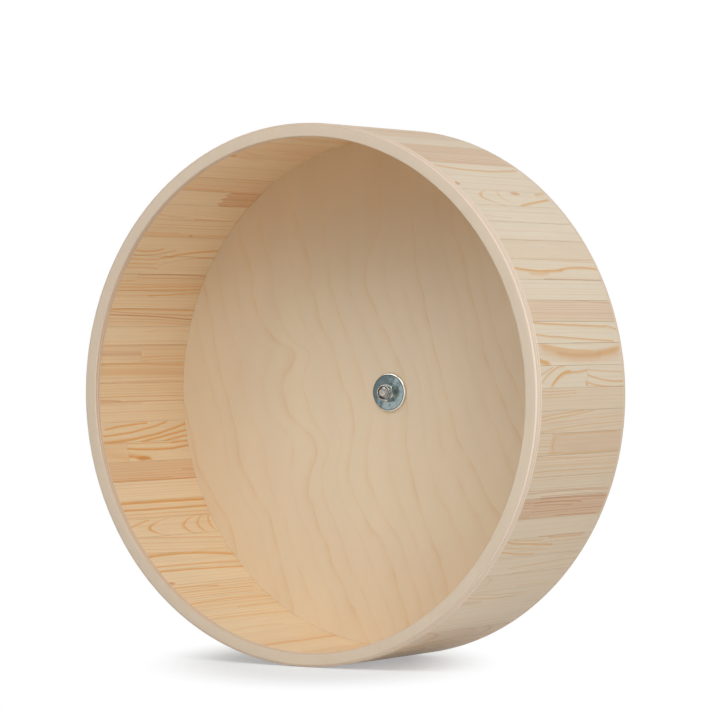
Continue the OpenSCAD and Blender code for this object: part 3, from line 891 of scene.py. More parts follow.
# Grain of the staves that were matched one by one, the front length first
MATCHED: dict[int, list[Grain]] = {
    14: [sawn(Sawn.FINE, late=0.2, red=0.2, tone=0.3)],
    13: [sawn(Sawn.FINE, ring=2.0, late=0.35, red=0.9, tone=0.85)],
    12: [sawn(Sawn.FINE,
        (0, 58.9, 40, 58.5, 112, 58.5, 1.0, 0.7, 0.5), (18, 57.9, 30, 57.75, 42, 57.8, 1.0, 0.6),
        (0, 60.6, 50, 60.2, 112, 60.3, 0.8, 0.4, 0.8),
        ring=2.8, late=0.35, red=0.8, tone=0.7)],
    11: [sawn(Sawn.PLAIN, (0, 56.1, 58, 54.85, 115, 56.0, 2.8, 0.75), tone=0.15)],
    10: [sawn(Sawn.PLAIN,
        (30, 50.3, 60, 50.2, 100, 50.3, 0.7, 0.3), (40, 48.7, 70, 48.5, 110, 48.9, 0.7, 0.3),
        tone=0.15, knot=Knot((1.5, 49.7), 5.0, 2.2, 0.8))],
    9: [sawn(Sawn.PLAIN,
        (30, 47.7, 19, 46.0, 42, 43.4, 5.0, 0.75, 0.1, 1), (50, 47.8, 46, 46.8, 65, 43.5, 4.0, 0.4, 0.1, 1),
        (66, 43.5, 90, 44.6, 116, 45.8, 2.2, 0.95), (101, 47.1, 108, 47.4, 116, 47.6, 2.6, 0.75),
        tone=0.15, knot=Knot((73.0, 47.3), 8.0, 2.2, 0.75))],
    8: [sawn(Sawn.PLAIN,
        (-5, 42.5, 50, 42.6, 125, 42.4, 0.6, 0.28), (-5, 40.1, 20, 40.0, 38, 39.8, 0.8, 0.4),
        (-5, 38.8, 60, 38.75, 125, 38.8, 0.7, 0.36, 0.6), (40, 42.0, 70, 41.7, 110, 41.9, 0.7, 0.3),
        tone=0.1)],
    7: [sawn(Sawn.PLAIN, (-5, 34.1, 60, 34.1, 125, 34.1, 1.0, 0.35, 0.7), tone=0.1)],
    6: [sawn(Sawn.PLAIN, (12, 29.6, 60, 29.5, 125, 29.6, 0.8, 0.35), late=0.08, tone=0.4)],
    5: [sawn(Sawn.PLAIN,
        (-5, 27.3, 36, 26.4, 68, 26.9, 2.3, 1.0), (62, 26.8, 84, 27.35, 122, 27.2, 2.0, 0.9),
        (18, 25.9, 30, 25.7, 46, 26.0, 2.6, 0.45, 0.3), (35, 24.7, 75, 24.7, 125, 24.7, 0.6, 0.9, 1.0),
        (55, 29.1, 85, 28.9, 125, 29.0, 0.8, 0.4),
        tone=0.2)],
    4: [sawn(Sawn.FINE, ring=2.6, late=0.13, tone=0.1)],
    3: [sawn(Sawn.FINE,
        (70, 20.0, 95, 19.6, 125, 19.3, 0.6, 0.6, 1.0), (-5, 17.2, 60, 17.0, 125, 17.2, 0.7, 0.35, 0.9),
        ring=1.9, late=0.2, red=0.7, tone=0.55)],
    2: [sawn(Sawn.PLAIN,
        (0, 15.05, 50, 14.6, 104, 14.3, 1.6, 0.85), (0, 12.5, 50, 11.85, 112, 11.1, 1.5, 0.75),
        (104, 14.4, 111, 14.1, 122, 13.4, 1.7, 0.65), (50, 10.85, 80, 10.9, 125, 10.85, 0.5, 0.6, 0.9),
        tone=0.1)],
    1: [sawn(Sawn.PLAIN,
        (4, 9.8, 60, 8.1, 117, 9.1, 8.0, 0.62, 0.35), (26, 8.5, 50, 8.0, 90, 8.2, 4.6, 0.45, 0.5),
        (-5, 7.5, 3, 6.9, 14, 6.3, 4.4, 0.95, 0.1), (2, 10.5, 50, 9.3, 78, 9.0, 2.0, 0.45, 0.1),
        (85, 8.6, 105, 9.0, 120, 9.9, 4.0, 0.5, 0.3),
        tone=0.15)],
    0: [sawn(Sawn.PLAIN,
        (-3, 2.0, 10, 4.3, 35, 6.1, 1.8, 0.65), (-3, 4.0, 8, 5.0, 18, 5.9, 1.3, 0.6),
        (14, 1.9, 26, 3.9, 42, 4.8, 3.0, 0.95), (40, 4.75, 54, 4.8, 70, 5.3, 1.7, 0.8),
        tone=0.15, knot=Knot((65.0, 2.4), 2.4, 2.2, 0.5)),
        sawn(Sawn.PLAIN,
        (64, 5.3, 90, 4.9, 125, 4.6, 1.0, 0.55), (66, 4.2, 88, 3.1, 125, 2.8, 1.4, 0.75),
        (66, 2.6, 85, 1.8, 125, 1.7, 1.5, 0.7),
        tone=0.15)],
    -1: [sawn(Sawn.FINE,
        (-5, 1.0, 25, 0.9, 50, 1.1, 0.7, 0.6, 0.4), (-5, 0.2, 25, 0.35, 50, 0.5, 0.7, 0.6, 0.4),
        (-5, -0.5, 20, -0.3, 42, -0.2, 0.6, 0.4, 0.4),
        late=0.15, tone=0.5)],
    -2: [sawn(Sawn.FINE,
        (-5, -4.4, 30, -3.6, 62, -3.1, 0.9, 0.7), (-5, -5.2, 35, -4.2, 76, -3.3, 0.9, 0.7),
        (-5, -6.0, 50, -5.0, 125, -4.4, 0.7, 0.4), (-5, -7.4, 60, -6.2, 125, -5.8, 0.9, 0.5),
        ring=2.5, late=0.2, slope=(0.03, 0.0), tone=0.45)],
    -3: [sawn(Sawn.FINE,
        (-5, -11.8, 8, -11.8, 20, -11.8, 0.9, 0.6),
        late=0.3, tone=0.45),
        sawn(Sawn.PLAIN,
        (24, -8.2, 20, -9.8, 23, -11.5, 4.0, 0.5, 0.1, 1), (18, -11.8, 60, -11.9, 125, -11.9, 1.0, 0.6),
        (30, -8.0, 60, -7.9, 112, -7.9, 0.9, 0.55),
        tone=0.75, red=0.6)],
    -4: [sawn(Sawn.FINE,
        (-5, -15.7, 50, -15.6, 125, -15.8, 0.7, 0.65), (-5, -14.6, 50, -14.5, 125, -14.7, 0.6, 0.45),
        (-5, -12.5, 30, -12.7, 60, -12.8, 0.7, 0.5), (60, -13.7, 90, -13.8, 125, -13.7, 0.6, 0.4),
        ring=2.1, late=0.3, tone=0.45)],
    -5: [sawn(Sawn.FINE,
        (-5, -20.4, 50, -20.1, 125, -20.6, 0.9, 0.7, 0.9), (-5, -19.7, 60, -19.8, 125, -20.1, 0.7, 0.6, 0.9),
        (20, -21.1, 60, -21.1, 125, -21.2, 0.8, 0.6, 0.9), (-5, -17.4, 60, -17.3, 125, -17.6, 0.6, 0.35),
        ring=2.1, late=0.2, tone=0.35)],
    -6: [sawn(Sawn.FINE,
        (-5, -22.3, 8, -22.3, 18, -22.4, 0.8, 0.6, 1.0), (-5, -25.6, 8, -25.7, 18, -25.7, 0.8, 0.6, 0.8),
        ring=2.0, late=0.45, red=1.0, tone=0.9),
        sawn(Sawn.FINE,
        (14, -22.45, 50, -22.4, 84, -22.9, 0.9, 1.0, 1.0), (14, -23.05, 40, -23.1, 72, -23.4, 0.8, 0.8, 1.0),
        (22, -21.6, 60, -21.65, 125, -22.1, 0.9, 0.95, 1.0), (52, -25.6, 85, -25.8, 112, -25.9, 0.9, 0.9, 0.8),
        (14, -24.4, 60, -24.5, 125, -24.4, 0.7, 0.6, 1.0),
        ring=1.9, late=0.4, red=1.0, tone=0.95)],
    -7: [sawn(Sawn.PLAIN, (42, -30.6, 75, -30.65, 110, -30.6, 1.2, 0.7, 0.4), tone=0.35)],
    -8: [sawn(Sawn.FINE,
        (-5, -31.2, 25, -32.1, 70, -32.9, 1.4, 0.9), (-5, -33.5, 20, -34.5, 50, -35.0, 1.3, 0.8),
        (8, -30.9, 25, -31.3, 52, -31.5, 1.0, 0.65), (58, -31.0, 85, -31.15, 108, -31.1, 1.1, 0.75, 0.3),
        (-5, -32.3, 20, -33.2, 64, -33.9, 0.8, 0.6),
        ring=3.0, late=0.2, tone=0.45)],
    -9: [sawn(Sawn.PLAIN,
        (26, -38.7, 60, -38.0, 125, -37.4, 1.1, 0.55), (36, -40.05, 65, -39.7, 125, -38.8, 1.0, 0.5),
        (88, -36.4, 105, -36.1, 125, -36.0, 0.8, 0.4),
        tone=0.35)],
    -10: [sawn(Sawn.PLAIN,
        (4, -40.3, 12, -41.8, 5, -43.3, 3.4, 0.35, 0.3, 1), (60, -44.0, 80, -44.2, 105, -44.4, 0.8, 0.5),
        tone=0.45)],
    -11: [sawn(Sawn.PLAIN,
        (-5, -45.2, 25, -46.0, 84, -46.6, 0.9, 0.55), (-5, -46.2, 20, -47.1, 74, -47.4, 1.1, 0.7, 0.3),
        (-5, -48.1, 12, -48.2, 27, -48.4, 3.4, 0.35, 0.8),
        tone=0.4)],
    -12: [sawn(Sawn.FINE, late=0.25, tone=0.2)],
    -13: [sawn(Sawn.FINE, ring=2.8, late=0.3, tone=0.2)],
    22: [sawn(Sawn.PLAIN, tone=0.8)],
    23: [sawn(Sawn.PLAIN,
        (16, 110.2, 30, 111.2, 52, 112.3, 2.2, 0.35), (68, 110.1, 90, 110.0, 125, 110.7, 2.2, 0.4, 0.4),
        tone=0.7, knot=Knot((15.0, 112.9), 5.5, 2.6, 0.75))],
    24: [sawn(Sawn.PLAIN, (28, 113.6, 45, 114.1, 62, 114.4, 2.2, 0.3), tone=0.5)],
    25: [sawn(Sawn.PLAIN, tone=0.6)],
    26: [sawn(Sawn.FINE,
        (66, 123.7, 85, 123.6, 102, 123.8, 1.3, 0.55), (-5, 126.4, 30, 126.8, 62, 126.8, 1.7, 0.5, 0.4),
        (-5, 127.3, 40, 127.2, 125, 127.2, 1.3, 0.5, 0.4),
        ring=2.6, late=0.25, red=0.6, tone=0.6)],
    27: [sawn(Sawn.PLAIN,
        tone=0.3),
        sawn(Sawn.FINE,
        (70, 131.9, 90, 132.0, 125, 131.8, 0.9, 0.8, 1.0), (66, 129.9, 90, 129.8, 125, 129.9, 0.8, 0.5, 1.0),
        ring=2.1, late=0.4, red=1.0, tone=1.0)],
    28: [sawn(Sawn.FINE,
        (-5, 134.6, 18, 135.8, 42, 136.2, 0.9, 0.6), (56, 136.5, 85, 136.6, 125, 136.7, 1.4, 0.6),
        late=0.25, slope=(0.06, 0.0), tone=0.3)],
    29: [sawn(Sawn.FINE,
        (-5, 141.4, 60, 141.4, 125, 141.2, 2.4, 0.5), (-5, 140.7, 25, 140.8, 50, 140.8, 0.9, 0.6),
        (-5, 139.2, 60, 139.3, 125, 139.2, 0.6, 0.45), (-5, 138.3, 60, 138.4, 125, 138.2, 0.6, 0.4),
        late=0.25, tone=0.35, knot=Knot((66.0, 141.3), 2.4, 1.0, 0.8))],
    30: [sawn(Sawn.PLAIN,
        (-5, 145.1, 16, 145.9, 42, 145.2, 1.5, 0.85), (-5, 146.6, 30, 146.8, 58, 145.4, 1.3, 0.75),
        (56, 147.0, 80, 146.1, 125, 145.1, 1.7, 0.9),
        tone=0.3)],
    31: [sawn(Sawn.PLAIN,
        (-5, 147.9, 25, 148.1, 50, 148.0, 1.4, 0.65), (-5, 149.3, 20, 149.2, 50, 149.2, 1.1, 0.65),
        (-5, 150.3, 25, 150.2, 50, 150.4, 1.2, 0.6),
        tone=0.35),
        sawn(Sawn.PLAIN,
        (44, 149.6, 65, 148.3, 97, 147.4, 0.9, 0.5), (92, 147.4, 105, 147.35, 125, 147.3, 1.5, 0.75),
        (40, 147.7, 50, 147.4, 60, 147.2, 1.7, 0.9),
        tone=0.3)],
    32: [sawn(Sawn.PLAIN,
        (-5, 153.7, 15, 153.6, 30, 153.6, 1.3, 0.6), (-5, 155.2, 15, 155.2, 30, 155.1, 1.1, 0.8),
        (-5, 156.0, 15, 156.0, 30, 155.9, 1.3, 0.7), (-5, 154.5, 15, 154.5, 30, 154.4, 0.8, 0.6),
        tone=0.5),
        sawn(Sawn.FINE,
        (18, 152.2, 60, 151.95, 125, 152.3, 0.9, 0.9, 0.8), (18, 152.8, 60, 152.9, 125, 152.8, 0.7, 0.6, 0.8),
        (18, 155.15, 50, 155.1, 125, 154.7, 1.1, 0.85), (18, 156.0, 60, 155.9, 125, 155.5, 1.3, 0.85),
        (18, 154.45, 60, 154.4, 125, 154.1, 0.8, 0.65),
        ring=2.5, late=0.2, tone=0.5)],
    33: [sawn(Sawn.FINE,
        (46, 157.3, 85, 156.8, 125, 156.3, 1.2, 0.75), (-5, 157.4, 40, 157.2, 80, 157.0, 0.8, 0.5),
        ring=2.4, late=0.25, tone=0.3)],
    34: [sawn(Sawn.FINE,
        (-5, 160.65, 60, 160.6, 125, 160.9, 1.4, 0.75), (-5, 161.0, 50, 161.6, 125, 162.1, 0.9, 0.7, 0.5),
        (-5, 161.8, 60, 162.3, 125, 163.2, 1.0, 1.0, 0.9), (-5, 162.8, 60, 163.0, 125, 163.9, 0.7, 0.55, 0.3),
        (-5, 163.6, 60, 163.7, 125, 164.5, 0.7, 0.55),
        ring=2.8, late=0.2, tone=0.45)],
    35: [sawn(Sawn.PLAIN, (58, 165.9, 85, 165.6, 125, 165.9, 0.7, 0.4), tone=0.15)],
    36: [sawn(Sawn.PLAIN,
        (-5, 170.9, 30, 171.0, 62, 170.9, 3.4, 0.35, 1.0), (-5, 169.2, 30, 169.2, 62, 169.2, 0.9, 0.5, 0.4),
        tone=0.5),
        sawn(Sawn.FINE,
        (50, 172.1, 80, 171.7, 125, 171.8, 0.8, 0.65), (50, 172.9, 90, 172.4, 125, 172.5, 0.7, 0.5),
        (50, 169.2, 90, 169.2, 125, 169.3, 0.9, 0.5, 0.4),
        late=0.2, tone=0.5)],
    37: [sawn(Sawn.FINE,
        (-5, 175.0, 60, 175.1, 125, 175.5, 6.5, 0.4, 0.4), (-5, 173.5, 60, 173.5, 125, 173.8, 1.5, 0.7),
        (20, 177.5, 60, 177.4, 125, 177.5, 0.7, 0.5, 0.4),
        late=0.2, tone=0.35)],
    38: [sawn(Sawn.FINE,
        (-5, 181.0, 60, 180.9, 125, 181.1, 0.7, 0.65, 0.4), (-5, 181.6, 15, 181.7, 32, 181.9, 0.8, 0.8, 0.9),
        (-5, 182.1, 60, 182.0, 125, 182.05, 0.8, 0.65, 0.5), (-5, 179.4, 60, 179.3, 125, 179.5, 0.6, 0.4),
        ring=2.0, late=0.3, tone=0.35)],
    39: [sawn(Sawn.FINE,
        (-5, 182.5, 20, 182.45, 60, 182.4, 0.8, 0.5, 0.5), (-5, 184.6, 60, 184.5, 125, 184.7, 0.6, 0.3),
        late=0.18, tone=0.3)],
    40: [sawn(Sawn.PLAIN,
        (8, 188.3, 28, 187.7, 64, 187.05, 1.6, 0.95), (-5, 189.8, 48, 188.9, 90, 186.9, 1.6, 0.95),
        (-5, 191.3, 60, 190.2, 122, 187.1, 1.9, 1.0), (50, 191.5, 85, 190.2, 122, 188.8, 1.8, 1.0),
        (80, 191.5, 100, 190.8, 122, 190.1, 1.7, 0.95),
        tone=0.3)],
    41: [sawn(Sawn.PLAIN,
        (-5, 193.6, 12, 194.0, 36, 195.2, 5.5, 0.3), (-5, 191.6, 15, 191.6, 30, 191.6, 1.2, 0.5),
        tone=0.6),
        sawn(Sawn.PLAIN,
        (30, 192.7, 75, 193.3, 125, 192.3, 1.9, 1.0, 0.2), (30, 194.4, 48, 194.9, 62, 195.4, 3.4, 0.95, 0.2),
        (30, 191.7, 60, 191.8, 100, 191.8, 1.0, 0.7), (92, 191.9, 105, 191.7, 125, 191.5, 1.6, 0.9),
        tone=0.3, knot=Knot((51.0, 195.3), 9.5, 2.0, 0.85))],
    42: [sawn(Sawn.FINE,
        (-5, 200.3, 60, 200.4, 125, 200.6, 1.0, 0.9, 0.5), (-5, 199.8, 40, 199.9, 84, 200.1, 0.7, 0.55, 0.5),
        (-5, 199.1, 60, 199.3, 125, 199.6, 0.6, 0.5, 0.5), (98, 198.4, 106, 198.4, 114, 198.4, 0.7, 0.7, 1.0),
        ring=2.1, late=0.2, red=0.9, tone=0.7)],
    43: [sawn(Sawn.FINE, late=0.2, tone=0.15)],
    44: [sawn(Sawn.PLAIN,
        (-5, 205.75, 60, 205.75, 125, 206.0, 2.5, 1.0, 0.2), (-5, 207.5, 55, 207.6, 125, 207.6, 1.9, 0.95, 0.2),
        (-5, 208.7, 60, 208.7, 125, 209.0, 0.9, 0.6), (-5, 209.6, 60, 209.6, 125, 209.8, 0.9, 0.7, 0.2),
        tone=0.3)],
    45: [sawn(Sawn.PLAIN,
        (50, 210.4, 28, 213.0, 44, 214.4, 5.0, 0.8, 0.1, 1), (88, 210.2, 73, 213.3, 82, 214.5, 4.4, 0.75, 0.1, 1),
        (100, 210.2, 91, 212.8, 97, 214.4, 3.4, 0.75, 0.1, 1),
        (110, 210.3, 107, 212.4, 110, 214.0, 2.6, 0.7, 0.1, 1), (-5, 212.4, 8, 211.5, 32, 210.2, 1.8, 0.6),
        tone=0.2)],
    46: [sawn(Sawn.FINE, ring=3.2, late=0.25, slope=(0.05, 0.0), tone=0.2)],
    47: [sawn(Sawn.PLAIN,
        (-5, 220.0, 50, 219.5, 122, 221.4, 3.0, 0.85), (-5, 222.8, 50, 222.8, 125, 223.6, 1.5, 0.7),
        tone=0.15)],
    48: [sawn(Sawn.PLAIN,
        (-5, 224.2, 60, 224.35, 125, 225.0, 1.8, 0.9),
        tone=0.1, knot=Knot((9.5, 227.9), 5.0, 1.7, 0.7))],
    49: [sawn(Sawn.FINE,
        (-5, 229.6, 30, 229.5, 64, 229.9, 1.0, 0.8, 0.4), (-5, 231.2, 50, 231.0, 106, 231.3, 1.0, 0.8),
        (-5, 232.8, 60, 232.6, 125, 232.9, 0.8, 0.5, 0.3),
        ring=2.8, late=0.3, tone=0.2)],
    50: [sawn(Sawn.FINE,
        (-5, 235.0, 60, 234.5, 125, 235.2, 1.1, 0.75), (58, 237.8, 85, 237.5, 125, 237.6, 1.5, 0.55),
        (-5, 236.3, 60, 236.1, 125, 236.4, 0.8, 0.45, 0.3),
        ring=2.8, late=0.3, tone=0.2)],
    51: [sawn(Sawn.FINE,
        (-5, 241.1, 50, 241.0, 125, 241.5, 1.0, 0.75), (-5, 239.8, 50, 239.9, 84, 240.0, 0.7, 0.5),
        ring=2.8, late=0.25, tone=0.15)],
    52: [sawn(Sawn.PLAIN, (12, 246.4, 40, 245.9, 84, 246.2, 2.2, 0.3), tone=0.15)],
    53: [sawn(Sawn.PLAIN, late=0.1, tone=0.3)],
    54: [sawn(Sawn.PLAIN,
        (-5, 254.8, 60, 254.9, 125, 254.6, 6.0, 0.4, 0.2), (14, 256.0, 30, 255.2, 62, 255.2, 1.5, 0.65),
        (58, 255.5, 85, 255.2, 125, 255.3, 1.4, 0.55),
        tone=0.3)],
    55: [sawn(Sawn.PLAIN, tone=0.2)],
}


@dataclass
class StaveBand:
    """The drum's wall of glued pine staves, in eleven groups of neighbours.

    Attributes:
        count: number of staves.
        groups: number of groups.
        edge_lead: how many degrees the staves' edges lead an even spacing, by place round the drum.
        glue: width of a glue line.
        bevel: width of the softened edge beside a glue line.
        steps: number of steps across and along a length.
        joints: staves of two lengths, and how far back their joint lies as a share.
        joint_gap: width of the glue line between two lengths.
        toothed: staves whose joint shows its fingers on the face.
        tooth_l: length of a finger.
        teeth: number of fingers.
        luck_start: where the staves' random numbers start.
        finish: the staves' finish.
    """

    count: int = 77
    groups: int = 11
    edge_lead: tuple[Spot, ...] = (
        (0, 1.6), (24, 1.2), (47, 1.25), (56, 1.4), (66, 0.8), (107, 1.25), (122, 1.0), (127, 1.35), (136, 1.2),
        (145, 2.2), (150, 2.2), (173, 0.3), (187, -0.25), (229, -0.6), (300, 1.95), (337, 1.95), (360, 1.6),
    )
    glue: float = 0.1
    bevel: float = 0.14
    steps: int = 6
    joints: dict[int, float] = field(
        default_factory=lambda: {
            0: 0.56, 18: 0.33, 27: 0.6, 31: 0.37, 32: 0.2, 36: 0.47, 41: 0.28, 57: 0.66, 71: 0.13, 74: 0.15
        }
    )
    joint_gap: float = 0.12
    toothed: tuple[int, ...] = (27, 31)
    tooth_l: float = 7.0
    teeth: int = 3
    luck_start: int = 4000
    finish: PineFinish = PineFinish()

    def edge(self, number: int) -> float:
        """Return the angle of a stave's lower edge, in radians."""
        even = 360 * number / self.count
        return math.radians(even + float(np.interp(even % 360, *zip(*self.edge_lead))))

    def grains(self, number: int) -> list[Grain]:
        """Return the grain of a stave's lengths.

        Args:
            number: the stave.

        Returns:
            The grains, the front length first.
        """
        chosen = MATCHED.get(number) or MATCHED.get(number - self.count)
        luck = np.random.RandomState(self.luck_start + number)
        lengths = 2 if number in self.joints else 1
        if chosen is None:
            kinds = [Sawn.FINE, Sawn.FINE, Sawn.PLAIN, Sawn.PLAIN, Sawn.BOLD, Sawn.ARCHED]
            chosen = [self.any_grain(number, kinds[luck.randint(6)], luck) for _ in range(lengths)]
        while len(chosen) < lengths:
            chosen = [*chosen, self.any_grain(number, Sawn.FINE, luck)]
        return chosen

    def any_streak(self, number: int, luck: np.random.RandomState) -> Streak:
        """Return a streak somewhere on a stave.

        Args:
            number: the stave.
            luck: the random numbers of its stave.

        Returns:
            The streak.
        """
        low, high = math.degrees(self.edge(number)), math.degrees(self.edge(number + 1))
        at = luck.uniform(low + 0.3, high - 0.3)
        start, end = luck.uniform(-30.0, 50.0), luck.uniform(70.0, 160.0)
        places = [(back, at + luck.uniform(-0.5, 0.5)) for back in (start, (start + end) / 2, end)]
        return Streak(*places, luck.uniform(0.7, 2.4), luck.uniform(0.35, 0.9), luck.uniform(0.0, 0.7))

    def any_grain(self, number: int, kind: Sawn, luck: np.random.RandomState) -> Grain:
        """Return a grain of a kind, with odds of its own.

        Args:
            number: the stave.
            kind: how the length was sawn.
            luck: the random numbers of its stave.

        Returns:
            The grain.
        """
        base = SAWN[kind]
        side = 1 if luck.rand() < 0.5 else -1
        return replace(
            base,
            streaks=tuple(self.any_streak(number, luck) for _ in range(luck.randint(STREAKS))),
            pith=(side * base.pith[0], base.pith[1] * luck.uniform(0.7, 1.4)),
            ring=base.ring * luck.uniform(0.8, 1.3),
            slope=(luck.uniform(-0.04, 0.04), base.slope[1] * luck.uniform(0.7, 1.4)),
            late=base.late * luck.uniform(0.6, 1.1),
            tone=luck.uniform(0.15, 0.85),
            red=luck.uniform(0.1, 0.9),
        )

    def tooth(self, number: int, share: float) -> float:
        """Return how far a joint's line lies behind its middle.

        Args:
            number: the stave.
            share: place across it as a share of its width.

        Returns:
            The distance, less than nothing in front of the middle.
        """
        if number not in self.toothed:
            return 0.0
        return self.tooth_l * (abs((share * self.teeth) % 1.0 - 0.5) * 2 - 0.5)

    def face(self, low: float, high: float, r: float, edge_r: float) -> list[Spot]:
        """Return points across a stave's face, with its softened edges.

        Args:
            low: angle of its lower edge.
            high: angle of its upper edge.
            r: radius of the face.
            edge_r: radius of its edges.

        Returns:
            The angle and radius of each point.
        """
        soft = self.bevel / r
        flat = [(low + soft + (high - low - 2 * soft) * k / self.steps, r) for k in range(self.steps + 1)]
        return [(low, edge_r), *flat, (high, edge_r)]

    def add_length(self, shape: Shape, number: int, start: float, end: float, grain: Grain, seed: float) -> None:
        """Add one length of pine to its group.

        Args:
            shape: the group's shape.
            number: the stave.
            start: distance of its front end behind the ring.
            end: distance of its rear end behind the ring.
            grain: how it was sawn.
            seed: the number that sets its own noise.
        """
        half_glue = self.glue / 2 / DRUM_R
        low, high = self.edge(number) + half_glue, self.edge(number + 1) - half_glue
        middle = (low + high) / 2
        outer = self.face(low, high, DRUM_R, DRUM_R - self.bevel)
        loop = outer + self.face(low, high, BAND_INNER_R, BAND_INNER_R + self.bevel)[::-1]
        rows = []
        for step in range(self.steps + 1):
            station = start + (end - start) * step / self.steps
            row = []
            for angle, r in loop:
                pull = self.tooth(number, (angle - low) / (high - low))
                move = 0.0
                if start > 0:
                    move += pull * (end - station) / (end - start)
                if end < BAND_L:
                    move += pull * (station - start) / (end - start)
                row.append((r * math.cos(angle), -(RING_REAR - station - move), r * math.sin(angle)))
            rows.append(row)
        first, wide = len(shape.points), len(loop)
        shape.grid(rows, False, True)
        for at, flip in ((first, False), (first + self.steps * wide, True)):
            for k in range(len(outer) - 1):
                quad = (at + k, at + wide - 1 - k, at + wide - 2 - k, at + k + 1)
                shape.faces.append(quad[::-1] if flip else quad)
        same = grain.carried(seed, math.degrees(middle))
        for row in rows:
            for (angle, r), point in zip(loop, row):
                own = {"grain_at": (RING_REAR + point[1], (angle - middle) * DRUM_R, r - DRUM_R)}
                for key, value in (own | same).items():
                    shape.carried.setdefault(key, []).append(value)

    def build(self) -> None:
        """Make the eleven groups of staves."""
        pine = self.finish.material()
        whole_seed, front_seed, rear_seed = 0.5, 0.31, 0.77
        for group in range(self.groups):
            shape = Shape()
            for number in range(group * self.count // self.groups, (group + 1) * self.count // self.groups):
                grains = self.grains(number)
                if number in self.joints:
                    joint, half_gap = BAND_L * self.joints[number], self.joint_gap / 2
                    self.add_length(shape, number, 0.0, joint - half_gap, grains[0], number + front_seed)
                    self.add_length(shape, number, joint + half_gap, BAND_L, grains[1], number + rear_seed)
                else:
                    self.add_length(shape, number, 0.0, BAND_L, grains[0], number + whole_seed)
            piece = shape.piece(f"pine_group_{group + 1:02d}", pine, 30.0)
            weld(piece)
            fit(piece, "wheel", "pine_staves", f"staves_{group + 1:02d}")


@dataclass
class RearPanel:
    """The plywood disc that closes the rear, with its edge cut back for the staves.

    Attributes:
        edge_t: thickness that the cut leaves at the edge.
        edge_r: radius of the edge's rear corner.
        bore_r: radius of the bore.
        bevel: width of the bore's front bevel.
        staves_gap: how far the cut's wall stays inside the staves.
        ring_rs: radii of the rings of points on its flat faces.
        plywood: its finish.
    """

    edge_t: float = 4.0
    edge_r: float = 1.2
    bore_r: float = 11.02
    bevel: float = 0.3
    staves_gap: float = 0.1
    ring_rs: Spot = (60.0, 120.0)
    # The panel's veneer is painted deeper toward the top: painted shade for the drum's top wall
    plywood: BirchPlywood = BirchPlywood(
        "panel_birch", PANEL_FRONT, 7, PANEL_FRONT - PANEL_REAR, veins=PANEL_VEINS, veneer=linear(241, 224, 197),
        painted_top_shade=linear(221, 193, 154), layer_deep=linear(206, 184, 160), glue=linear(168, 138, 114),
    )

    def build(self) -> None:
        """Make the panel."""
        rim = PANEL_REAR + self.edge_t
        middle_r = BAND_INNER_R - self.staves_gap
        profile = [(self.bore_r, PANEL_FRONT - self.bevel), (self.bore_r + self.bevel, PANEL_FRONT)]
        profile += [(r, PANEL_FRONT) for r in (*self.ring_rs, middle_r)]
        profile += [(middle_r, rim), (DRUM_R, rim)]
        profile += arc((DRUM_R - self.edge_r, PANEL_REAR + self.edge_r), self.edge_r, -90, 0, 6)[::-1]
        profile += [(r, PANEL_REAR) for r in (*self.ring_rs[::-1], self.bore_r)]
        piece = Shape().turn(profile, ROUND_STEPS).piece("panel", self.plywood.material())
        fit(piece, "wheel", "panel_plywood", "rear_panel")


@dataclass
class Hub:
    """The block behind the panel, its screws and both bearings, which keep their solids."""

    block: BirchPlywood = BirchPlywood("hub_birch", PANEL_REAR, 11, 15.0, figure=0.6)
    screw: Metal = Metal("screw_zinc", linear(206, 190, 140), linear(170, 170, 168), 0.3, 0.2, 0.8)
    race: Metal = Metal("ground_steel", linear(196, 198, 200), linear(182, 184, 188), 0.16, 0.5, 0.2)
    shield: Metal = Metal("pressed_steel", linear(176, 178, 180), linear(160, 163, 168), 0.32, 0.6, 0.5)
    ball: Metal = Metal("polished_steel", linear(214, 216, 218), linear(206, 208, 212), 0.07, 0.0, 0.1)
    spacer: Metal = Metal("turned_steel", linear(178, 178, 176), linear(160, 162, 166), 0.3, 1.0, 0.5)
    cage: Nylon = Nylon("cage_nylon", linear(222, 212, 176))

    def dress(self) -> None:
        """Give each solid of the hub its finish."""
        looks = {
            self.block.material(): ["hub_block"],
            self.screw.material(): ["hub_screws"],
            self.race.material(): ["front_outer_ring", "front_inner_ring", "rear_outer_ring", "rear_inner_ring"],
            self.shield.material(): ["front_shields", "rear_shields"],
            self.ball.material(): ["front_balls", "rear_balls"],
            self.cage.material(): ["front_ball_cage", "rear_ball_cage"],
            self.spacer.material(): ["centre_spacer", "front_shim", "rear_shim"],
        }
        for material, nodes in looks.items():
            for node in nodes:
                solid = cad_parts[node]
                solid.data.materials.clear()
                solid.data.materials.append(material)
                LOG.info("%s is finished as %s", node, material.name)


